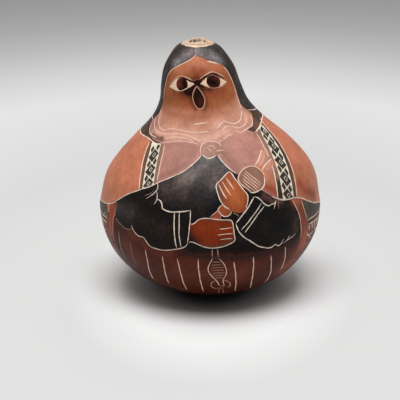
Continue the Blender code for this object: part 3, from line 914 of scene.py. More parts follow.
def draw_plait(d, side):
    """One plait: crossing strands down its length, tied near its end, with a loose tuft below."""
    top, foot, lobes = 70.5, 45.0, 9

    def height_at(lobe):
        return top + (foot - top) * lobe / lobes

    def middle_at(height):
        return 180 + side * (12 + 0.25 * (top - height) ** 0.9)

    def degrees_wide(size, height):
        return size * math.degrees(1.0 / SURFACE.radius(SURFACE.plane((0.0, height))[1]))

    for lobe in range(lobes):
        height, lower = height_at(lobe), height_at(lobe + 1.35)
        girth = degrees_wide(3.2, height) / 1.5
        d.area(oval(middle_at(height), (height + lower) / 2, girth * 1.5, (height - lower) / 1.7, 12),
            "hair")
    for lobe in range(lobes):
        height, lower = height_at(lobe), height_at(lobe + 1.0)
        half_way = (height + lower) / 2
        middle = middle_at(height)
        lean = (1 if lobe % 2 else -1) * degrees_wide(3.0, height)
        d.lines([
            ([(middle + lean, height), (middle + lean * 0.2, half_way - 0.6), (middle - lean, lower)], 0.9),
            ([(middle - lean, height - 0.2), (middle - lean * 1.05, half_way)], 0.7, "fleck"),
        ])

    middle = middle_at(foot)
    tie_top, tie_foot = foot + 0.6, foot - 1.6
    tie = [(-3.6, tie_top), (3.6, tie_top), (3.4, tie_foot), (-3.4, tie_foot)]
    d.area([(middle + aside, height) for aside, height in tie], "palm", smooth=False)
    d.lines([
        ([(middle - 3.6, foot + 0.7), (middle + 3.6, foot + 0.7)], 0.85),
        ([(middle - 3.4, foot - 1.5), (middle + 3.4, foot - 1.5)], 0.85),
    ])
    tuft = [(-2.6, tie_foot), (2.6, tie_foot), (4, foot - 6), (0, foot - 6.8), (-4, foot - 6)]
    d.area([(middle + aside, height) for aside, height in tuft], "hair", smooth=False)
    for lean in (-2, -1, 0, 1, 2):
        d.line([(middle + lean, foot - 1.8), (middle + 1.7 * lean, foot - 6.2)], 0.7)


def draw_painted_highlight(d):
    """Painted highlight of the overhead light on the black on top of the head, with some rubbed grey bloom.
    """
    d.smudges(("hair",), [
        ([(-46, 94), (-26, 96.6), (-8, 98), (10, 97.4), (30, 96.2), (44, 94.4)], 2.3, "ash", 0.78),
        ([(-30, 97.8), (0, 98.6), (30, 97.8)], 1.6, "ash", 0.35),
        ([(66, 84), (72, 78), (78, 75)], 3.0, "ash", 0.08),
        ([(-70, 88), (-72, 82)], 3.0, "ash", 0.08),
        ([(150, 95), (180, 97), (210, 95)], 4.0, "ash", 0.4),
        ([(100, 84), (106, 88)], 4.0, "ash", 0.2),
        ([(250, 83), (256, 88)], 4.0, "ash", 0.2),
    ])


def draw_everything():
    d = Drawing()
    draw_grounds(d)
    draw_painted_highlight(d)
    draw_bands(d)
    draw_shoulders(d)
    draw_mantle(d)
    draw_back(d)
    draw_skirt(d)
    draw_cloak(d)
    draw_collar(d)
    draw_distaff(d)
    draw_hands(d)
    draw_face(d)
    return d


# ---------------------------------------------------------------- meshing the drawing

# Linear colours of the dyes and burns, and of some painted highlight, and the material that each belongs to.
PAINTS = {
    "terracotta": ((0.555, 0.192, 0.106), "skin"),
    "face": ((0.36, 0.112, 0.043), "skin"),
    "chin": ((0.57, 0.250, 0.160), "skin"),
    "collar": ((0.66, 0.345, 0.255), "skin"),
    "blouse": ((0.46, 0.213, 0.172), "skin"),
    "dusk": ((0.22, 0.100, 0.085), "skin"),
    "rust": ((0.30, 0.064, 0.030), "skin"),
    "mauve": ((0.300, 0.165, 0.125), "skin"),
    "hand": ((0.36, 0.088, 0.030), "skin"),
    "amber": ((0.49, 0.132, 0.041), "skin"),
    "palm": ((0.21, 0.026, 0.0045), "skin"),
    "madder": ((0.140, 0.032, 0.018), "skin"),
    "skirt": ((0.080, 0.0150, 0.0065), "skin"),
    "umber": ((0.090, 0.051, 0.034), "skin"),
    "loam": ((0.170, 0.085, 0.055), "skin"),
    "bark": ((0.22, 0.110, 0.045), "skin"),
    "iris": ((0.165, 0.034, 0.020), "skin"),
    "soot": ((0.020, 0.0065, 0.0045), "smoked"),
    "pupil": ((0.008, 0.0025, 0.002), "smoked"),
    "knot": ((0.40, 0.210, 0.165), "skin"),
    "yarn": ((0.27, 0.130, 0.090), "skin"),
    "black": ((0.0106, 0.0090, 0.0086), "smoked"),
    "coal": ((0.050, 0.040, 0.031), "smoked"),
    "hair": ((0.040, 0.034, 0.029), "smoked"),
    "slate": ((0.078, 0.068, 0.052), "smoked"),
    # The next two greys are painted highlight of the overhead light on the black; the first one also colours
    # a few grey lines.
    "ash": ((0.21, 0.197, 0.208), "smoked"),
    "haze": ((0.205, 0.182, 0.174), "smoked"),
    "cut": ((0.95, 0.800, 0.670), "cut"),
    "bone": ((0.86, 0.760, 0.600), "cut"),
    "petal": ((0.90, 0.600, 0.470), "cut"),
    "blush": ((0.66, 0.370, 0.270), "cut"),
    "eye": ((0.97, 0.690, 0.490), "cut"),
    "fleck": ((0.40, 0.285, 0.215), "cut"),
    "scratch": ((0.42, 0.230, 0.185), "cut"),
    "scar": ((0.79, 0.590, 0.440), "cut"),
    "pith": ((0.50, 0.380, 0.240), "pith"),
}
PAINT_NAMES = list(PAINTS)
PAINT_COLOURS = np.array([colour for colour, _ in PAINTS.values()])
KINDS = ("skin", "smoked", "cut", "pith")


def distance_to_path(points, path):
    """Distance of each point to a path, and where along it the nearest place is, in the path's points."""
    start, run = path[:-1], np.diff(path, axis=0)
    length = np.maximum((run**2).sum(1), 1e-12)
    share = np.clip(((points[:, None] - start) * run).sum(-1) / length, 0.0, 1.0)
    gap = np.hypot(*np.moveaxis(points[:, None] - start - share[..., None] * run, -1, 0))
    nearest = gap.argmin(1)
    rows = np.arange(len(points))
    return gap[rows, nearest], nearest + share[rows, nearest]


def near_path(points, path, margin):
    """Indices of the points inside the path's box, widened by a margin."""
    low, high = path.min(0) - margin, path.max(0) + margin
    return np.flatnonzero(((points >= low) & (points <= high)).all(1))


def inside_outline(points, outline):
    """Which points a closed outline holds."""
    x, y = points[:, 0], points[:, 1]
    inside = np.zeros(len(points), bool)
    for (x0, y0), (x1, y1) in zip(outline[:-1], outline[1:]):
        if y0 != y1:
            crosses = (y0 > y) != (y1 > y)
            inside ^= crosses & (x < (x1 - x0) * (y - y0) / (y1 - y0) + x0)
    return inside


def covered_by_strokes(points, strokes, margin):
    """Which points a stroke covers, or comes within a margin of."""
    covered = np.zeros(len(points), bool)
    for path, half, _, _ in strokes:
        rows = near_path(points, path, half.max() + margin)
        if len(rows):
            gap, along = distance_to_path(points[rows], path)
            reach = np.interp(along, range(len(path)), half)
            covered[rows] |= gap < reach + margin
    return covered


def ground_points(up_low, up_high):
    """Evenly spread points for the plain surface, and points along the two sides of the seam."""
    points = []
    up, row = up_low, 0
    left, right = SPAN
    while True:
        gap = FACE_SPACING * SURFACE.scale(up)
        up += ROW_PITCH * gap
        if up > up_high - 0.5 * gap:
            return points
        row += 1
        count = round((right - left) / gap)
        column = np.arange(count)
        xs = left + column * (right - left) / count
        azimuth = np.degrees(xs / BELLY_RADIUS)
        step = np.where(abs(azimuth) < FRONT_AZIMUTH, 2, 3)
        if SURFACE.height(up) > FACE_ABOVE:
            step[(azimuth > FACE_FROM) & (azimuth < FACE_TO)] = 1
        keep = (row % step == 0) & ((column + row // step % 2) % step == 0)
        keep &= (xs > left + 0.5 * gap) & (xs < right - 0.5 * gap)
        points += [(x, up) for x in xs[keep]]
        if row % 3 == 0:
            points += [(left, up), (right, up)]


def mesh_drawing(drawing, up_low, up_high):
    """Points and triangles of the engraved surface on the plane, conforming to every stroke and outline."""
    points, edges = [], []

    def add_path(path):
        first = len(points)
        points.extend(path.tolist())
        edges.extend((k, k + 1) for k in range(first, len(points) - 1))

    for path, half, _, _ in drawing.strokes:
        aside = left_of(path) * half[:, None]
        for side in (-1, 0, 1):
            add_path(path + side * aside)
        for end in (0, -1):
            add_path(np.stack([path[end] - aside[end], path[end], path[end] + aside[end]]))
    for path, _, _ in drawing.areas:
        clear = ~covered_by_strokes(path, drawing.strokes, STROKE_ROOM)
        clear &= (path[:, 1] > up_low + RING_ROOM) & (path[:, 1] < up_high - RING_ROOM)
        kept = np.flatnonzero(clear)
        place = {old: len(points) + new for new, old in enumerate(kept)}
        points.extend(path[kept].tolist())
        edges.extend((place[k], place[k + 1]) for k in kept if k + 1 in place)

    crowd = kdtree.KDTree(len(points))
    for index, (x, y) in enumerate(points):
        crowd.insert((x, y, 0.0), index)
    crowd.balance()
    for x, y in ground_points(up_low, up_high):
        if x in SPAN or crowd.find((x, y, 0.0))[2] > POINT_ROOM * SURFACE.scale(y):
            points.append((x, y))
    left, right = SPAN
    for up, count in ((up_low, FOOT_POINTS), (up_high, TOP_POINTS)):
        add_path(np.stack([np.linspace(left, right, count + 1), np.full(count + 1, up)], 1))
    for side in SPAN:
        add_path(np.array([(side, up_low), (side, up_high)]))

    result = delaunay_2d_cdt([Vector(point) for point in points], edges, [], 0, MERGE, False)
    flat = np.array([tuple(point) for point in result[0]])
    faces = np.array(result[2])
    x, y = flat[faces].mean(1).T
    return flat, faces[(x > left) & (x < right) & (y > up_low) & (y < up_high)]


def paint_faces(drawing, flat, faces):
    """The paint of each face: the last area that holds its middle, then the last stroke."""
    middle = flat[faces].mean(1)
    paints = np.full(len(faces), PAINT_NAMES.index("terracotta"))
    for path, paint, _ in drawing.areas:
        rows = near_path(middle, path, 0.0)
        paints[rows[inside_outline(middle[rows], path)]] = PAINT_NAMES.index(paint)
    for path, half, paint, _ in drawing.strokes:
        rows = near_path(middle, path, half.max())
        if len(rows):
            gap, along = distance_to_path(middle[rows], path)
            hit = rows[gap < np.interp(along, range(len(path)), half)]
            paints[hit] = PAINT_NAMES.index(paint)
    return paints


def cut_depths(drawing, flat):
    """How deep each point lies: V-shaped along the strokes, even where the rind is scraped off."""
    depths = np.zeros(len(flat))
    for path, _, depth in drawing.areas:
        if depth:
            rows = near_path(flat, path, 0.0)
            rows = rows[inside_outline(flat[rows], path)]
            depths[rows] = np.maximum(depths[rows], depth)
    for path, half, _, depth in drawing.strokes:
        if depth:
            rows = near_path(flat, path, half.max())
            if len(rows):
                gap, along = distance_to_path(flat[rows], path)
                share = gap / np.interp(along, range(len(path)), half)
                depths[rows] = np.maximum(depths[rows], depth * np.clip(1.0 - share, 0.0, 1.0))
    return depths


def corner_colours(drawing, flat, faces, paints):
    """Colour of each face's three corners: its paint, with the soft smudges laid over."""
    colours = np.repeat(PAINT_COLOURS[paints][:, None], 3, axis=1)
    scale = SURFACE.scale(flat[:, 1])
    for path, reach, paint, strength, on in drawing.patches:
        rows = near_path(flat, path, SMUDGE_EXTENT * reach * scale.max())
        gap, _ = distance_to_path(flat[rows], path)
        weight = np.zeros(len(flat))
        weight[rows] = strength * np.exp(-((gap / (reach * scale[rows])) ** 2))
        chosen = np.isin(paints, [PAINT_NAMES.index(name) for name in on])
        share = weight[faces[chosen]][..., None]
        colours[chosen] += share * (np.array(PAINTS[paint][0]) - colours[chosen])
    return colours


# ---------------------------------------------------------------- closed shell


def strip_faces(upper, lower):
    """Triangles between two rings of the same length, facing outward when upper is above lower."""
    faces = []
    for k in range(len(upper)):
        n = (k + 1) % len(upper)
        faces += [(upper[k], lower[k], lower[n]), (upper[k], lower[n], upper[n])]
    return faces


def fan_faces(ring, centre):
    """Triangles between a ring and a point in its middle, facing outward when the ring is above the point."""
    return [(ring[k], centre, ring[(k + 1) % len(ring)]) for k in range(len(ring))]


def inner_profile():
    """(radius, height) down the inside of the wall, from the stem hole's lower rim to the floor's middle."""
    profile = np.stack([SURFACE.radii, SURFACE.heights], 1)
    inner = profile + WALL * left_of(profile)
    inner = inner[(inner[:, 1] > WALL) & (inner[:, 1] < INNER_TOP) & (inner[:, 0] > INNER_LEAST_RADIUS)]
    run = np.concatenate([[0.0], np.cumsum(np.hypot(*np.diff(inner, axis=0).T))])
    stops = np.linspace(0.0, run[-1], INNER_ROWS)
    rows = [tuple(np.interp(stop, run, inner[:, k]) for k in (0, 1)) for stop in stops[::-1]]
    return [BORE_FOOT] + rows + [(share * rows[-1][0], WALL) for share in FLOOR_RINGS]


class PlainRings:
    """Rings of points beyond the engraved stretch, and the triangles that join them to it."""

    def __init__(self, first_index):
        self.next_index = first_index
        self.points = []
        self.faces = []
        self.paints = []

    def add(self, start, azimuths, rows, paint, close=None):
        """Join a ring for each (radius, height) to the ring of indices in start, and give back the last one.

        close is a point that fills the middle of the last ring.
        """
        last = start
        for radius, height in rows:
            x = SURFACE.lean(height) + radius * np.sin(azimuths)
            self._add_points(np.stack([x, -radius * np.cos(azimuths), np.full(len(azimuths), height)], 1))
            ring = list(range(self.next_index - len(azimuths), self.next_index))
            self._add_faces(strip_faces(last, ring), paint)
            last = ring
        if close is not None:
            self._add_points(np.array([close]))
            self._add_faces(fan_faces(last, self.next_index - 1), paint)
        return last

    def _add_points(self, points):
        self.points.append(points)
        self.next_index += len(points)

    def _add_faces(self, faces, paint):
        self.faces += faces
        self.paints += [PAINT_NAMES.index(paint)] * len(faces)


def join_seam(flat, faces):
    """The faces with the seam's right side replaced by its left side, the same line on the gourd."""
    left, right = [np.flatnonzero(abs(flat[:, 0] - side) < SNAP) for side in SPAN]
    partner = np.arange(len(flat))
    partner[right] = left[abs(flat[right, 1][:, None] - flat[left, 1]).argmin(1)]
    return partner[faces]


def build_shell(drawing):
    """The whole shell as one closed mesh: engraved skin, crown, stem hole, inner wall and foot."""
    up_low, up_high = SURFACE.plane([(0.0, FOOT_HEIGHT), (0.0, TOP_HEIGHT)])[:, 1]
    flat, faces = mesh_drawing(drawing, up_low, up_high)
    paints = paint_faces(drawing, flat, faces)
    depths = cut_depths(drawing, flat)
    colours = corner_colours(drawing, flat, faces, paints)
    faces = join_seam(flat, faces)

    def ring_at(up):
        x, y = flat.T
        ring = np.flatnonzero((abs(y - up) < SNAP) & (x < SPAN[1] - SNAP) & (x > SPAN[0] - SNAP))
        return ring[np.argsort(x[ring])]

    # Each interpolation takes a part of the profile on which the radius only grows or only shrinks.
    rings = PlainRings(len(flat))
    foot = ring_at(up_low)
    edge = SURFACE.radii[0]
    middle_radius = 0.5 * (edge + SURFACE.radius(up_low))
    low_part = slice(0, 40)
    middle_height = np.interp(middle_radius, SURFACE.radii[low_part], SURFACE.heights[low_part])
    rows = [(middle_radius, middle_height), (edge, 0.0)] + [(share * edge, 0.0) for share in FLAT_RINGS]
    rings.add(foot, flat[foot, 0] / BELLY_RADIUS, rows, "skirt", close=(0.0, 0.0, 0.0))

    top = ring_at(up_high)[::-1]
    azimuths = flat[top, 0] / BELLY_RADIUS
    high_part = slice(-60, None)
    radii = np.linspace(SURFACE.radius(up_high), BORE_RADIUS, CROWN_RINGS)[1:]
    heights = np.interp(-radii, -SURFACE.radii[high_part], SURFACE.heights[high_part])
    last = rings.add(top, azimuths, list(zip(radii, heights)) + BORE_RIM, "scar")
    rings.add(last, azimuths, inner_profile(), "pith", close=(0.0, 0.0, WALL))

    colours = np.concatenate([colours, np.repeat(PAINT_COLOURS[rings.paints][:, None], 3, axis=1)])
    vertices = np.vstack([SURFACE.space(flat, depths)] + rings.points)
    return vertices, np.vstack([faces, rings.faces]), colours, np.concatenate([paints, rings.paints])


def mesh_object(name, vertices, faces, colours, kinds, materials):
    """A smooth mesh piece with one colour for each face corner and one material for each kind of face."""
    used, faces = np.unique(faces, return_inverse=True)
    faces = faces.reshape(-1, 3)
    mesh = bpy.data.meshes.new(name)
    mesh.from_pydata((vertices[used] * MM).tolist(), [], faces.tolist())
    for material in materials:
        mesh.materials.append(material)
    mesh.polygons.foreach_set("material_index", np.asarray(kinds, np.int32))
    layer = mesh.color_attributes.new("paint", "FLOAT_COLOR", "CORNER")
    rgba = np.concatenate([colours.reshape(-1, 3), np.ones((len(faces) * 3, 1))], 1)
    layer.data.foreach_set("color", rgba.astype(np.float32).ravel())
    mesh.shade_smooth()
    mesh.validate()
    mesh.update()
    return add_object(name, mesh)


def sharpen_between_kinds(obj):
    """Crisp edges where a cut or the pith meets another kind of surface, such as along the lips of a cut."""
    mesh = obj.data
    kinds = np.empty(len(mesh.polygons), np.int32)
    mesh.polygons.foreach_get("material_index", kinds)
    loops = np.empty(len(mesh.loops), np.int32)
    mesh.loops.foreach_get("edge_index", loops)
    low = np.full(len(mesh.edges), len(KINDS))
    high = np.full(len(mesh.edges), -1)
    corner_kinds = np.repeat(kinds, 3)
    np.minimum.at(low, loops, corner_kinds)
    np.maximum.at(high, loops, corner_kinds)
    cut = KINDS.index("cut")
    sharp = mesh.attributes.new("sharp_edge", "BOOLEAN", "EDGE")
    sharp.data.foreach_set("value", (low != high) & (high >= cut))


def make_shell(materials):
    vertices, faces, colours, paints = build_shell(draw_everything())
    kind_of = np.array([KINDS.index(PAINTS[name][1]) for name in PAINT_NAMES])
    shell = mesh_object("engraved_shell", vertices, faces, colours, kind_of[paints], materials)
    sharpen_between_kinds(shell)
    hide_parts("gourd_shell")
    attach(shell, "gourd")


def crumble(x, y, seed):
    """A repeatable roughness from a few crossed waves, between about -1 and 1."""
    total = 0.0
    for octave in range(4):
        frequency = 1.1 * 1.9**octave
        angle = 1.3 * octave + 0.7 * seed
        along = x * math.cos(angle) + y * math.sin(angle)
        across = y * math.cos(angle) - x * math.sin(angle)
        bend = 1.7 * math.sin(0.8 * frequency * across + octave)
        total += 0.5 * 0.68**octave * math.sin(frequency * along + seed + bend)
    return total


def stub_surface(radius, turn):
    """Height and painted shade of the broken top of the stem: a crumbling mound of fibre with open pits in
    it.
    """
    x, y = radius * math.sin(turn), -radius * math.cos(turn)
    share = radius / STUB_RADIUS
    mound = -0.06 + 2.05 * max(0.0, 1.0 - share**1.5) ** 1.15
    ridge = 0.34 * crumble(1.3 * x, 1.3 * y, 2.0) + 0.14 * crumble(3.1 * x, 3.1 * y, 5.0)
    pit = 0.0
    for place_x, place_y, wide, long in STUB_PITS:
        pit = max(pit, math.exp(-(((x - place_x) / wide) ** 2) - ((y - place_y) / long) ** 2))
    height = mound + ridge * min(1.0, 1.6 - share) * (1.0 - 0.85 * share**4) - pit
    # Painted shade: the pits and the low hollows between the crumbs are darkened.
    painted_shade = min(1.0, max(1.25 * pit, 0.3 * max(0.0, -2.2 * ridge)))
    return CROWN_HEIGHT + min(height, STUB_TOP - CROWN_HEIGHT), painted_shade


def capped_rings(rings, sides):
    """Triangles over a point, then rings of points below one another, and a last point below them all."""
    rows = [range(1 + sides * ring, 1 + sides * (ring + 1)) for ring in range(rings)]
    faces = [face[::-1] for face in fan_faces(rows[0], 0)]
    for upper, lower in zip(rows, rows[1:]):
        faces += strip_faces(upper, lower)
    return np.array(faces + fan_faces(rows[-1], 1 + sides * rings))


def make_stub(material):
    """The broken end of the stem, with its root down in the stem hole."""
    pale, dark = np.array(PAINTS["scar"][0]), np.array((0.040, 0.022, 0.013))
    under = 0.8 * pale
    vertices, colours = [], []

    def add(radius, turn, height, colour):
        vertices.append((CROWN_LEAN + radius * math.sin(turn), -radius * math.cos(turn), height))
        colours.append(colour)

    # The top's colour goes from pale to dark with the painted shade of its pits and hollows.
    def add_top(radius, turn):
        height, painted_shade = stub_surface(radius, turn)
        add(radius, turn, height, pale + painted_shade * (dark - pale))

    turns = [TURN * k / STUB_SIDES for k in range(STUB_SIDES)]
    add_top(0.0, 0.0)
    for ring in range(1, STUB_RINGS + 1):
        for turn in turns:
            ragged = 1.0 + 0.035 * math.sin(3 * turn + 1) + 0.025 * math.sin(7 * turn)
            ragged += 0.012 * math.sin(17 * turn)
            add_top(STUB_RADIUS * ragged * ring / STUB_RINGS, turn)
    for radius, height in STUB_ROOT:
        for turn in turns:
            add(radius * (1.0 + 0.02 * math.sin(5 * turn)), turn, height, under)
    add(0.0, 0.0, STUB_ROOT_END, under)
    faces = capped_rings(STUB_RINGS + len(STUB_ROOT), STUB_SIDES)
    colours = np.array(colours)[faces]
    stub = mesh_object("stem_end", np.array(vertices), faces, colours, np.zeros(len(faces)), [material])
    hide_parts("stem_stub")
    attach(stub, "gourd")


def floor_height(radius):
    """Height of the inner floor of the gourd at a radius, as in the CAD model."""
    share = min(1.0, radius / (BELLY_RADIUS - WALL))
    drop = (1.0 - share**BELLY_SQUARENESS) ** (1.0 / BELLY_SQUARENESS)
    return max(WALL, BELLY_HEIGHT - (BELLY_DROP - WALL) * drop)


def seed_pose(ring_radius, around, turn):
    """Where a seed lies: on the floor of the gourd, tilted to its slope and turned about its own face."""
    step = 0.5
    floor = floor_height(ring_radius)
    slope = math.atan2(floor_height(ring_radius + step) - floor, step)
    lift = Vector((-math.sin(slope), 0.0, math.cos(slope))) * (SEED_THICKNESS / 2 + SEED_GAP)
    place = Vector((ring_radius, 0.0, floor)) + lift
    return (
        Matrix.Rotation(around, 4, "Z")
        @ Matrix.Translation(place)
        @ Matrix.Rotation(-slope, 4, "Y")
        @ Matrix.Rotation(turn, 4, "Z")
    )


def bell(place, middle, width):
    return math.exp(-(((place - middle) / width) ** 2))


def seed_shape():
    """One gourd seed along X: flat faces, a rounded margin, a pointed end, and a blunt one with two ears."""
    half_length = SEED_LENGTH / 2
    vertices, shades = [(-half_length, 0.0, 0.0)], [0.6]
    for ring in range(1, SEED_ROWS):
        along = -math.cos(math.pi * ring / SEED_ROWS)
        fullness = 0.85 * (1.0 + 0.28 * along) * (1.0 + 0.22 * max(0.0, along) ** 2)
        width = 0.5 * SEED_WIDTH * fullness * math.sqrt(1.0 - along**2) ** (0.8 if along > 0 else 1.0)
        for k in range(SEED_SIDES):
            turn = TURN * k / SEED_SIDES
            aside = math.cos(turn)
            ear = 0.28 * bell(along, 0.86, 0.12) * bell(abs(aside), 0.75, 0.3)
            margin = bell(abs(aside), 0.74, 0.16)
            face = 0.60 + 0.36 * margin + 0.05 * math.cos(9 * aside)
            x = half_length * along * (0.96 + 0.12 * ear)
            y = min(0.96 * width, SEED_MOST_ASIDE) * aside
            z = 0.5 * SEED_THICKNESS * face * math.sin(turn) * (1.0 - along**6) ** 0.5
            vertices.append((x, y, z))
            shades.append(0.75 + 0.35 * margin)
    vertices.append((0.95 * half_length, 0.0, 0.0))
    shades.append(0.7)
    faces = capped_rings(SEED_ROWS - 1, SEED_SIDES)[:, ::-1]
    return np.array(vertices), faces, np.array(shades)


def make_seeds(material):
    """The loose seeds, one piece for each of the CAD model's, in the same places."""
    shape, faces, shades = seed_shape()
    kinds = np.zeros(len(faces))
    number = 0
    for ring, (count, radius) in enumerate(SEED_RINGS):
        for place in range(count):
            number += 1
            around = TURN * place / count + 0.6 * ring
            turn = math.pi / 2 + SEED_TURN * math.sin(2.4 * number)
            pose = np.array(seed_pose(radius, around, turn))
            vertices = shape @ pose[:3, :3].T + pose[:3, 3]
            tint = np.array((0.46, 0.30, 0.155)) * (1.0 + 0.18 * math.sin(3.7 * number))
            colours = (shades[:, None] * tint)[faces]
            seed = mesh_object(f"dry_seed_{number:02d}", vertices, faces, colours, kinds, [material])
            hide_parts(f"seed_{number:02d}")
            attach(seed, f"seed_{number:02d}")


# ---------------------------------------------------------------- materials


class Nodes:
    """A short way to write a material's nodes."""

    def __init__(self, name):
        self.material = bpy.data.materials.new(name)
        self.material.use_nodes = True
        self.tree = self.material.node_tree
        self.shader = self.tree.nodes["Principled BSDF"]

    def add(self, kind, **settings):
        node = self.tree.nodes.new(kind)
        for key, value in settings.items():
            if key in node.inputs:
                node.inputs[key].default_value = value
            else:
                setattr(node, key, value)
        return node

    def link(self, source, target):
        self.tree.links.new(source, target)

    def noise(self, scale, detail=4.0, roughness=0.55, stretch=(1.0, 1.0, 1.0), distortion=0.0):
        coordinates = self.add("ShaderNodeTexCoord")
        mapping = self.add("ShaderNodeMapping")
        mapping.inputs["Scale"].default_value = stretch
        texture = self.add("ShaderNodeTexNoise")
        texture.inputs["Scale"].default_value = scale
        texture.inputs["Detail"].default_value = detail
        texture.inputs["Roughness"].default_value = roughness
        texture.inputs["Distortion"].default_value = distortion
        self.link(coordinates.outputs["Object"], mapping.inputs["Vector"])
        self.link(mapping.outputs["Vector"], texture.inputs["Vector"])
        return texture.outputs["Fac"]

    def ramp(self, source, stops):
        """A ramp from (place, grey or colour) stops."""
        node = self.add("ShaderNodeValToRGB")
        elements = node.color_ramp.elements
        while len(elements) < len(stops):
            elements.new(0.5)
        for element, (place, colour) in zip(elements, stops):
            element.position = place
            element.color = (colour, colour, colour, 1.0) if isinstance(colour, float) else (*colour, 1.0)
        self.link(source, node.inputs["Fac"])
        return node.outputs["Color"]

    def mix(self, blend, factor, first, second):
        node = self.add("ShaderNodeMix", data_type="RGBA", blend_type=blend)
        for key, value in (("Factor", factor), ("A", first), ("B", second)):
            socket = next(s for s in node.inputs if s.name == key and s.enabled)
            if isinstance(value, bpy.types.NodeSocket):
                self.link(value, socket)
            else:
                socket.default_value = value
        return next(s for s in node.outputs if s.enabled)

    def bump(self, height, strength, distance, after=None):
        node = self.add("ShaderNodeBump")
        node.inputs["Strength"].default_value = strength
        node.inputs["Distance"].default_value = distance
        self.link(height, node.inputs["Height"])
        if after is not None:
            self.link(after, node.inputs["Normal"])
        return node.outputs["Normal"]

    def set(self, name, value):
        socket = self.shader.inputs[name]
        if isinstance(value, bpy.types.NodeSocket):
            self.link(value, socket)
        else:
            socket.default_value = value


def paint_colour(n):
    return n.add("ShaderNodeAttribute", attribute_name="paint").outputs["Color"]


def skin_material():
    """Dyed rind, rubbed to a satin gloss: clouds of dye, fine vertical fibre, and specks that took no dye."""
    n = Nodes("dyed_rind")
    clouds = n.ramp(n.noise(140.0, 5.0), [(0.30, 0.80), (0.72, 1.20)])
    fibre = n.ramp(n.noise(900.0, 4.0, 0.6, (1.0, 1.0, 0.12)), [(0.35, 0.88), (0.70, 1.08)])
    specks = n.ramp(n.noise(2600.0, 2.0, 0.5), [(0.60, 0.0), (0.74, 0.35)])
    colour = n.mix("MULTIPLY", 1.0, paint_colour(n), clouds)
    colour = n.mix("MULTIPLY", 1.0, colour, fibre)
    colour = n.mix("MIX", specks, colour, n.mix("MULTIPLY", 1.0, paint_colour(n), (1.5, 1.4, 1.3, 1.0)))
    n.set("Base Color", colour)
    n.set("Roughness", n.ramp(n.noise(420.0, 4.0), [(0.3, 0.36), (0.75, 0.48)]))
    n.set("Specular IOR Level", 0.08)
    grain = n.bump(n.noise(2200.0, 4.0, 0.6, (1.0, 1.0, 0.35)), 0.16, 0.00025)
    n.set("Normal", n.bump(n.noise(160.0, 3.0), 0.25, 0.0006, grain))
    return n.material


def smoked_material():
    """Rind burnt black: soot that thins in places, with a brown cast here and a greyish bloom there."""
    n = Nodes("burnt_rind")
    bloom = n.ramp(n.noise(210.0, 6.0, 0.65, distortion=0.4), [(0.34, 0.72), (0.56, 1.0), (0.78, 1.9)])
    cast = n.ramp(n.noise(95.0, 4.0), [(0.35, (0.92, 0.98, 1.04)), (0.72, (1.35, 1.02, 0.90))])
    mottle = n.ramp(n.noise(800.0, 3.0, 0.6), [(0.34, 0.74), (0.66, 1.34)])
    colour = n.mix("MULTIPLY", 1.0, paint_colour(n), bloom)
    colour = n.mix("MULTIPLY", 1.0, colour, mottle)
    colour = n.mix("MULTIPLY", 1.0, colour, cast)
    n.set("Base Color", colour)
    n.set("Roughness", n.ramp(n.noise(380.0, 5.0), [(0.3, 0.36), (0.75, 0.50)]))
    n.set("Specular IOR Level", 0.06)
    grain = n.bump(n.noise(1900.0, 4.0, 0.6, (1.0, 1.0, 0.4)), 0.22, 0.00025)
    n.set("Normal", n.bump(n.noise(150.0, 3.0), 0.3, 0.0006, grain))
    return n.material


def cut_material():
    """Bare rind in the cuts: pale, matt, with darker fibre ends."""
    n = Nodes("cut_rind")
    fibre = n.ramp(n.noise(3000.0, 4.0, 0.7), [(0.30, 0.72), (0.70, 1.10)])
    n.set("Base Color", n.mix("MULTIPLY", 1.0, paint_colour(n), fibre))
    n.set("Roughness", 0.75)
    n.set("Normal", n.bump(n.noise(4000.0, 3.0), 0.3, 0.0001))
    return n.material


def pith_material():
    """The dry inside of the wall, papery and brown in patches."""
    n = Nodes("dry_pith")
    patches = n.ramp(n.noise(180.0, 6.0, 0.65), [(0.3, 0.55), (0.7, 1.15)])
    n.set("Base Color", n.mix("MULTIPLY", 1.0, paint_colour(n), patches))
    n.set("Roughness", 0.9)
    n.set("Normal", n.bump(n.noise(700.0, 6.0, 0.7), 0.6, 0.0008))
    return n.material


def stem_material():
    """Broken stem: pale pith and fibre ends, rough and dusty."""
    n = Nodes("stem_wood")
    fibre = n.ramp(n.noise(1500.0, 6.0, 0.7, (1.0, 1.0, 0.5)), [(0.30, 0.62), (0.70, 1.16)])
    stains = n.ramp(n.noise(420.0, 4.0), [(0.42, (1.0, 1.0, 1.0)), (0.70, (0.82, 0.66, 0.52))])
    colour = n.mix("MULTIPLY", 1.0, paint_colour(n), fibre)
    n.set("Base Color", n.mix("MULTIPLY", 1.0, colour, stains))
    n.set("Roughness", 0.88)
    n.set("Normal", n.bump(n.noise(2400.0, 6.0, 0.75), 0.7, 0.0003))
    return n.material


def seed_material():
    """Seed coat: tan and satin, mottled, with fine creases."""
    n = Nodes("seed_coat")
    mottle = n.ramp(n.noise(900.0, 5.0, 0.6), [(0.30, 0.68), (0.70, 1.18)])
    n.set("Base Color", n.mix("MULTIPLY", 1.0, paint_colour(n), mottle))
    n.set("Roughness", n.ramp(n.noise(600.0, 3.0), [(0.3, 0.5), (0.7, 0.72)]))
    n.set("Normal", n.bump(n.noise(2600.0, 5.0, 0.7), 0.4, 0.00015))
    return n.material


# ---------------------------------------------------------------- stage, in metres

CAMERA_ELEVATION = math.radians(16.0)
CAMERA_DISTANCE = 0.420
CAMERA_TARGET = 0.045
CAMERA_LENS = 92.6
CAMERA_SHIFT = (-0.025, -0.056)

# The floor is flat out to a radius, curves up into a wall, and ends at the wall's top.
FLOOR_RADII = [0.3, 0.6, 0.9, 1.2]
SWEEP_RADIUS = 0.4
SWEEP_STEPS = 8
WALL_TOP = 1.4
FLOOR_SIDES = 96
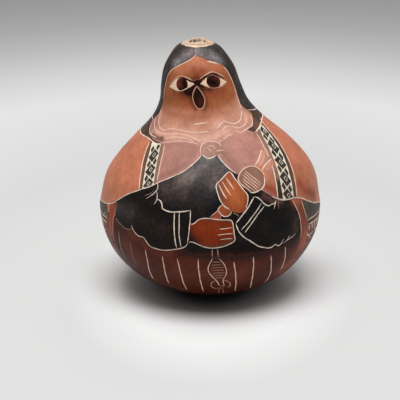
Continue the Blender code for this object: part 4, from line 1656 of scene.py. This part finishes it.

# Greys of the floor by distance from the gourd, with distances to the sides counted longer by FLOOR_STRETCH.
# They are painted light
# and shade: a painted contact shadow under the gourd, a painted lighter ring round it that lifts its shadow,
# and painted shade that greys the floor further off and the wall behind.
FLOOR_STRETCH = (1.6, 1.0, 1.0)
FLOOR_PAINTED_LIGHT_AND_SHADE = [
    (0.0, 0.05), (0.022, 0.09), (0.030, 0.39), (0.041, 0.66), (0.052, 0.80), (0.062, 0.84), (0.076, 0.76),
    (0.095, 0.65), (0.20, 0.61), (0.40, 0.72), (0.52, 0.63), (0.66, 0.51), (0.82, 0.435), (1.0, 0.41),
]


def add_object(name, data):
    obj = bpy.data.objects.new(name, data)
    bpy.context.scene.collection.objects.link(obj)
    return obj


def make_camera():
    camera = bpy.data.cameras.new("camera")
    camera.lens = CAMERA_LENS
    camera.sensor_width = 36.0
    camera.shift_x, camera.shift_y = CAMERA_SHIFT
    camera.clip_start = 0.01
    back = CAMERA_DISTANCE * math.cos(CAMERA_ELEVATION)
    rise = CAMERA_DISTANCE * math.sin(CAMERA_ELEVATION)
    obj = add_object("camera", camera)
    obj.location = (0.0, -back, CAMERA_TARGET + rise)
    obj.rotation_euler = (math.pi / 2 - CAMERA_ELEVATION, 0.0, 0.0)
    bpy.context.scene.camera = obj


def make_stage():
    """A pale floor that sweeps up all round into a wall, greyer with distance in painted shade, with a
    painted contact shadow.
    """
    profile = [(radius, 0.0) for radius in FLOOR_RADII]
    for step in range(1, SWEEP_STEPS + 1):
        turn = step * math.pi / (2 * SWEEP_STEPS)
        out = FLOOR_RADII[-1] + SWEEP_RADIUS * math.sin(turn)
        profile.append((out, SWEEP_RADIUS - SWEEP_RADIUS * math.cos(turn)))
    profile.append((FLOOR_RADII[-1] + SWEEP_RADIUS, WALL_TOP))
    vertices = [(0.0, 0.0, 0.0)]
    for radius, height in profile:
        for k in range(FLOOR_SIDES):
            turn = TURN * k / FLOOR_SIDES
            vertices.append((radius * math.cos(turn), radius * math.sin(turn), height))
    faces = []
    for here in range(FLOOR_SIDES):
        there = (here + 1) % FLOOR_SIDES
        faces.append((0, 1 + here, 1 + there))
        for row in range(len(profile) - 1):
            low, high = 1 + row * FLOOR_SIDES, 1 + (row + 1) * FLOOR_SIDES
            faces.append((low + here, high + here, high + there, low + there))
    mesh = bpy.data.meshes.new("floor")
    mesh.from_pydata(vertices, [], faces)
    mesh.shade_smooth()
    n = Nodes("floor")
    coordinates = n.add("ShaderNodeTexCoord")
    mapping = n.add("ShaderNodeMapping")
    mapping.inputs["Scale"].default_value = FLOOR_STRETCH
    length = n.add("ShaderNodeVectorMath", operation="LENGTH")
    n.link(coordinates.outputs["Object"], mapping.inputs["Vector"])
    n.link(mapping.outputs["Vector"], length.inputs[0])
    # The floor's colour holds painted light and shade, by distance from the gourd.
    n.set("Base Color", n.ramp(length.outputs["Value"], FLOOR_PAINTED_LIGHT_AND_SHADE))
    n.set("Roughness", 0.9)
    n.set("Specular IOR Level", 0.2)
    mesh.materials.append(n.material)
    floor = add_object("floor", mesh)


def add_light(name, location, size, power):
    """A panel of white light that faces the gourd."""
    light = bpy.data.lights.new(name, "AREA")
    light.shape = "RECTANGLE"
    light.size, light.size_y = size
    light.energy = power
    obj = add_object(name, light)
    obj.location = location
    aim = Vector((0.0, 0.0, 0.05)) - Vector(location)
    obj.rotation_euler = aim.to_track_quat("-Z", "Y").to_euler()


def make_lights():
    """Soft light as in a light tent: a bright panel above the front, a weaker one behind, and pale walls."""
    world = bpy.data.worlds.new("studio")
    world.use_nodes = True
    background = world.node_tree.nodes["Background"]
    background.inputs["Color"].default_value = (0.98, 0.985, 0.965, 1.0)
    background.inputs["Strength"].default_value = 0.40
    bpy.context.scene.world = world
    bpy.context.scene.view_settings.view_transform = "Standard"
    add_light("key", (-0.05, -0.30, 1.45), (1.05, 0.75), 20.0)
    add_light("back", (0.1, 1.0, 1.0), (0.8, 0.5), 2.5)


def main():
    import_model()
    make_camera()
    make_stage()
    make_lights()
    make_shell([skin_material(), smoked_material(), cut_material(), pith_material()])
    make_stub(stem_material())
    make_seeds(seed_material())


main()
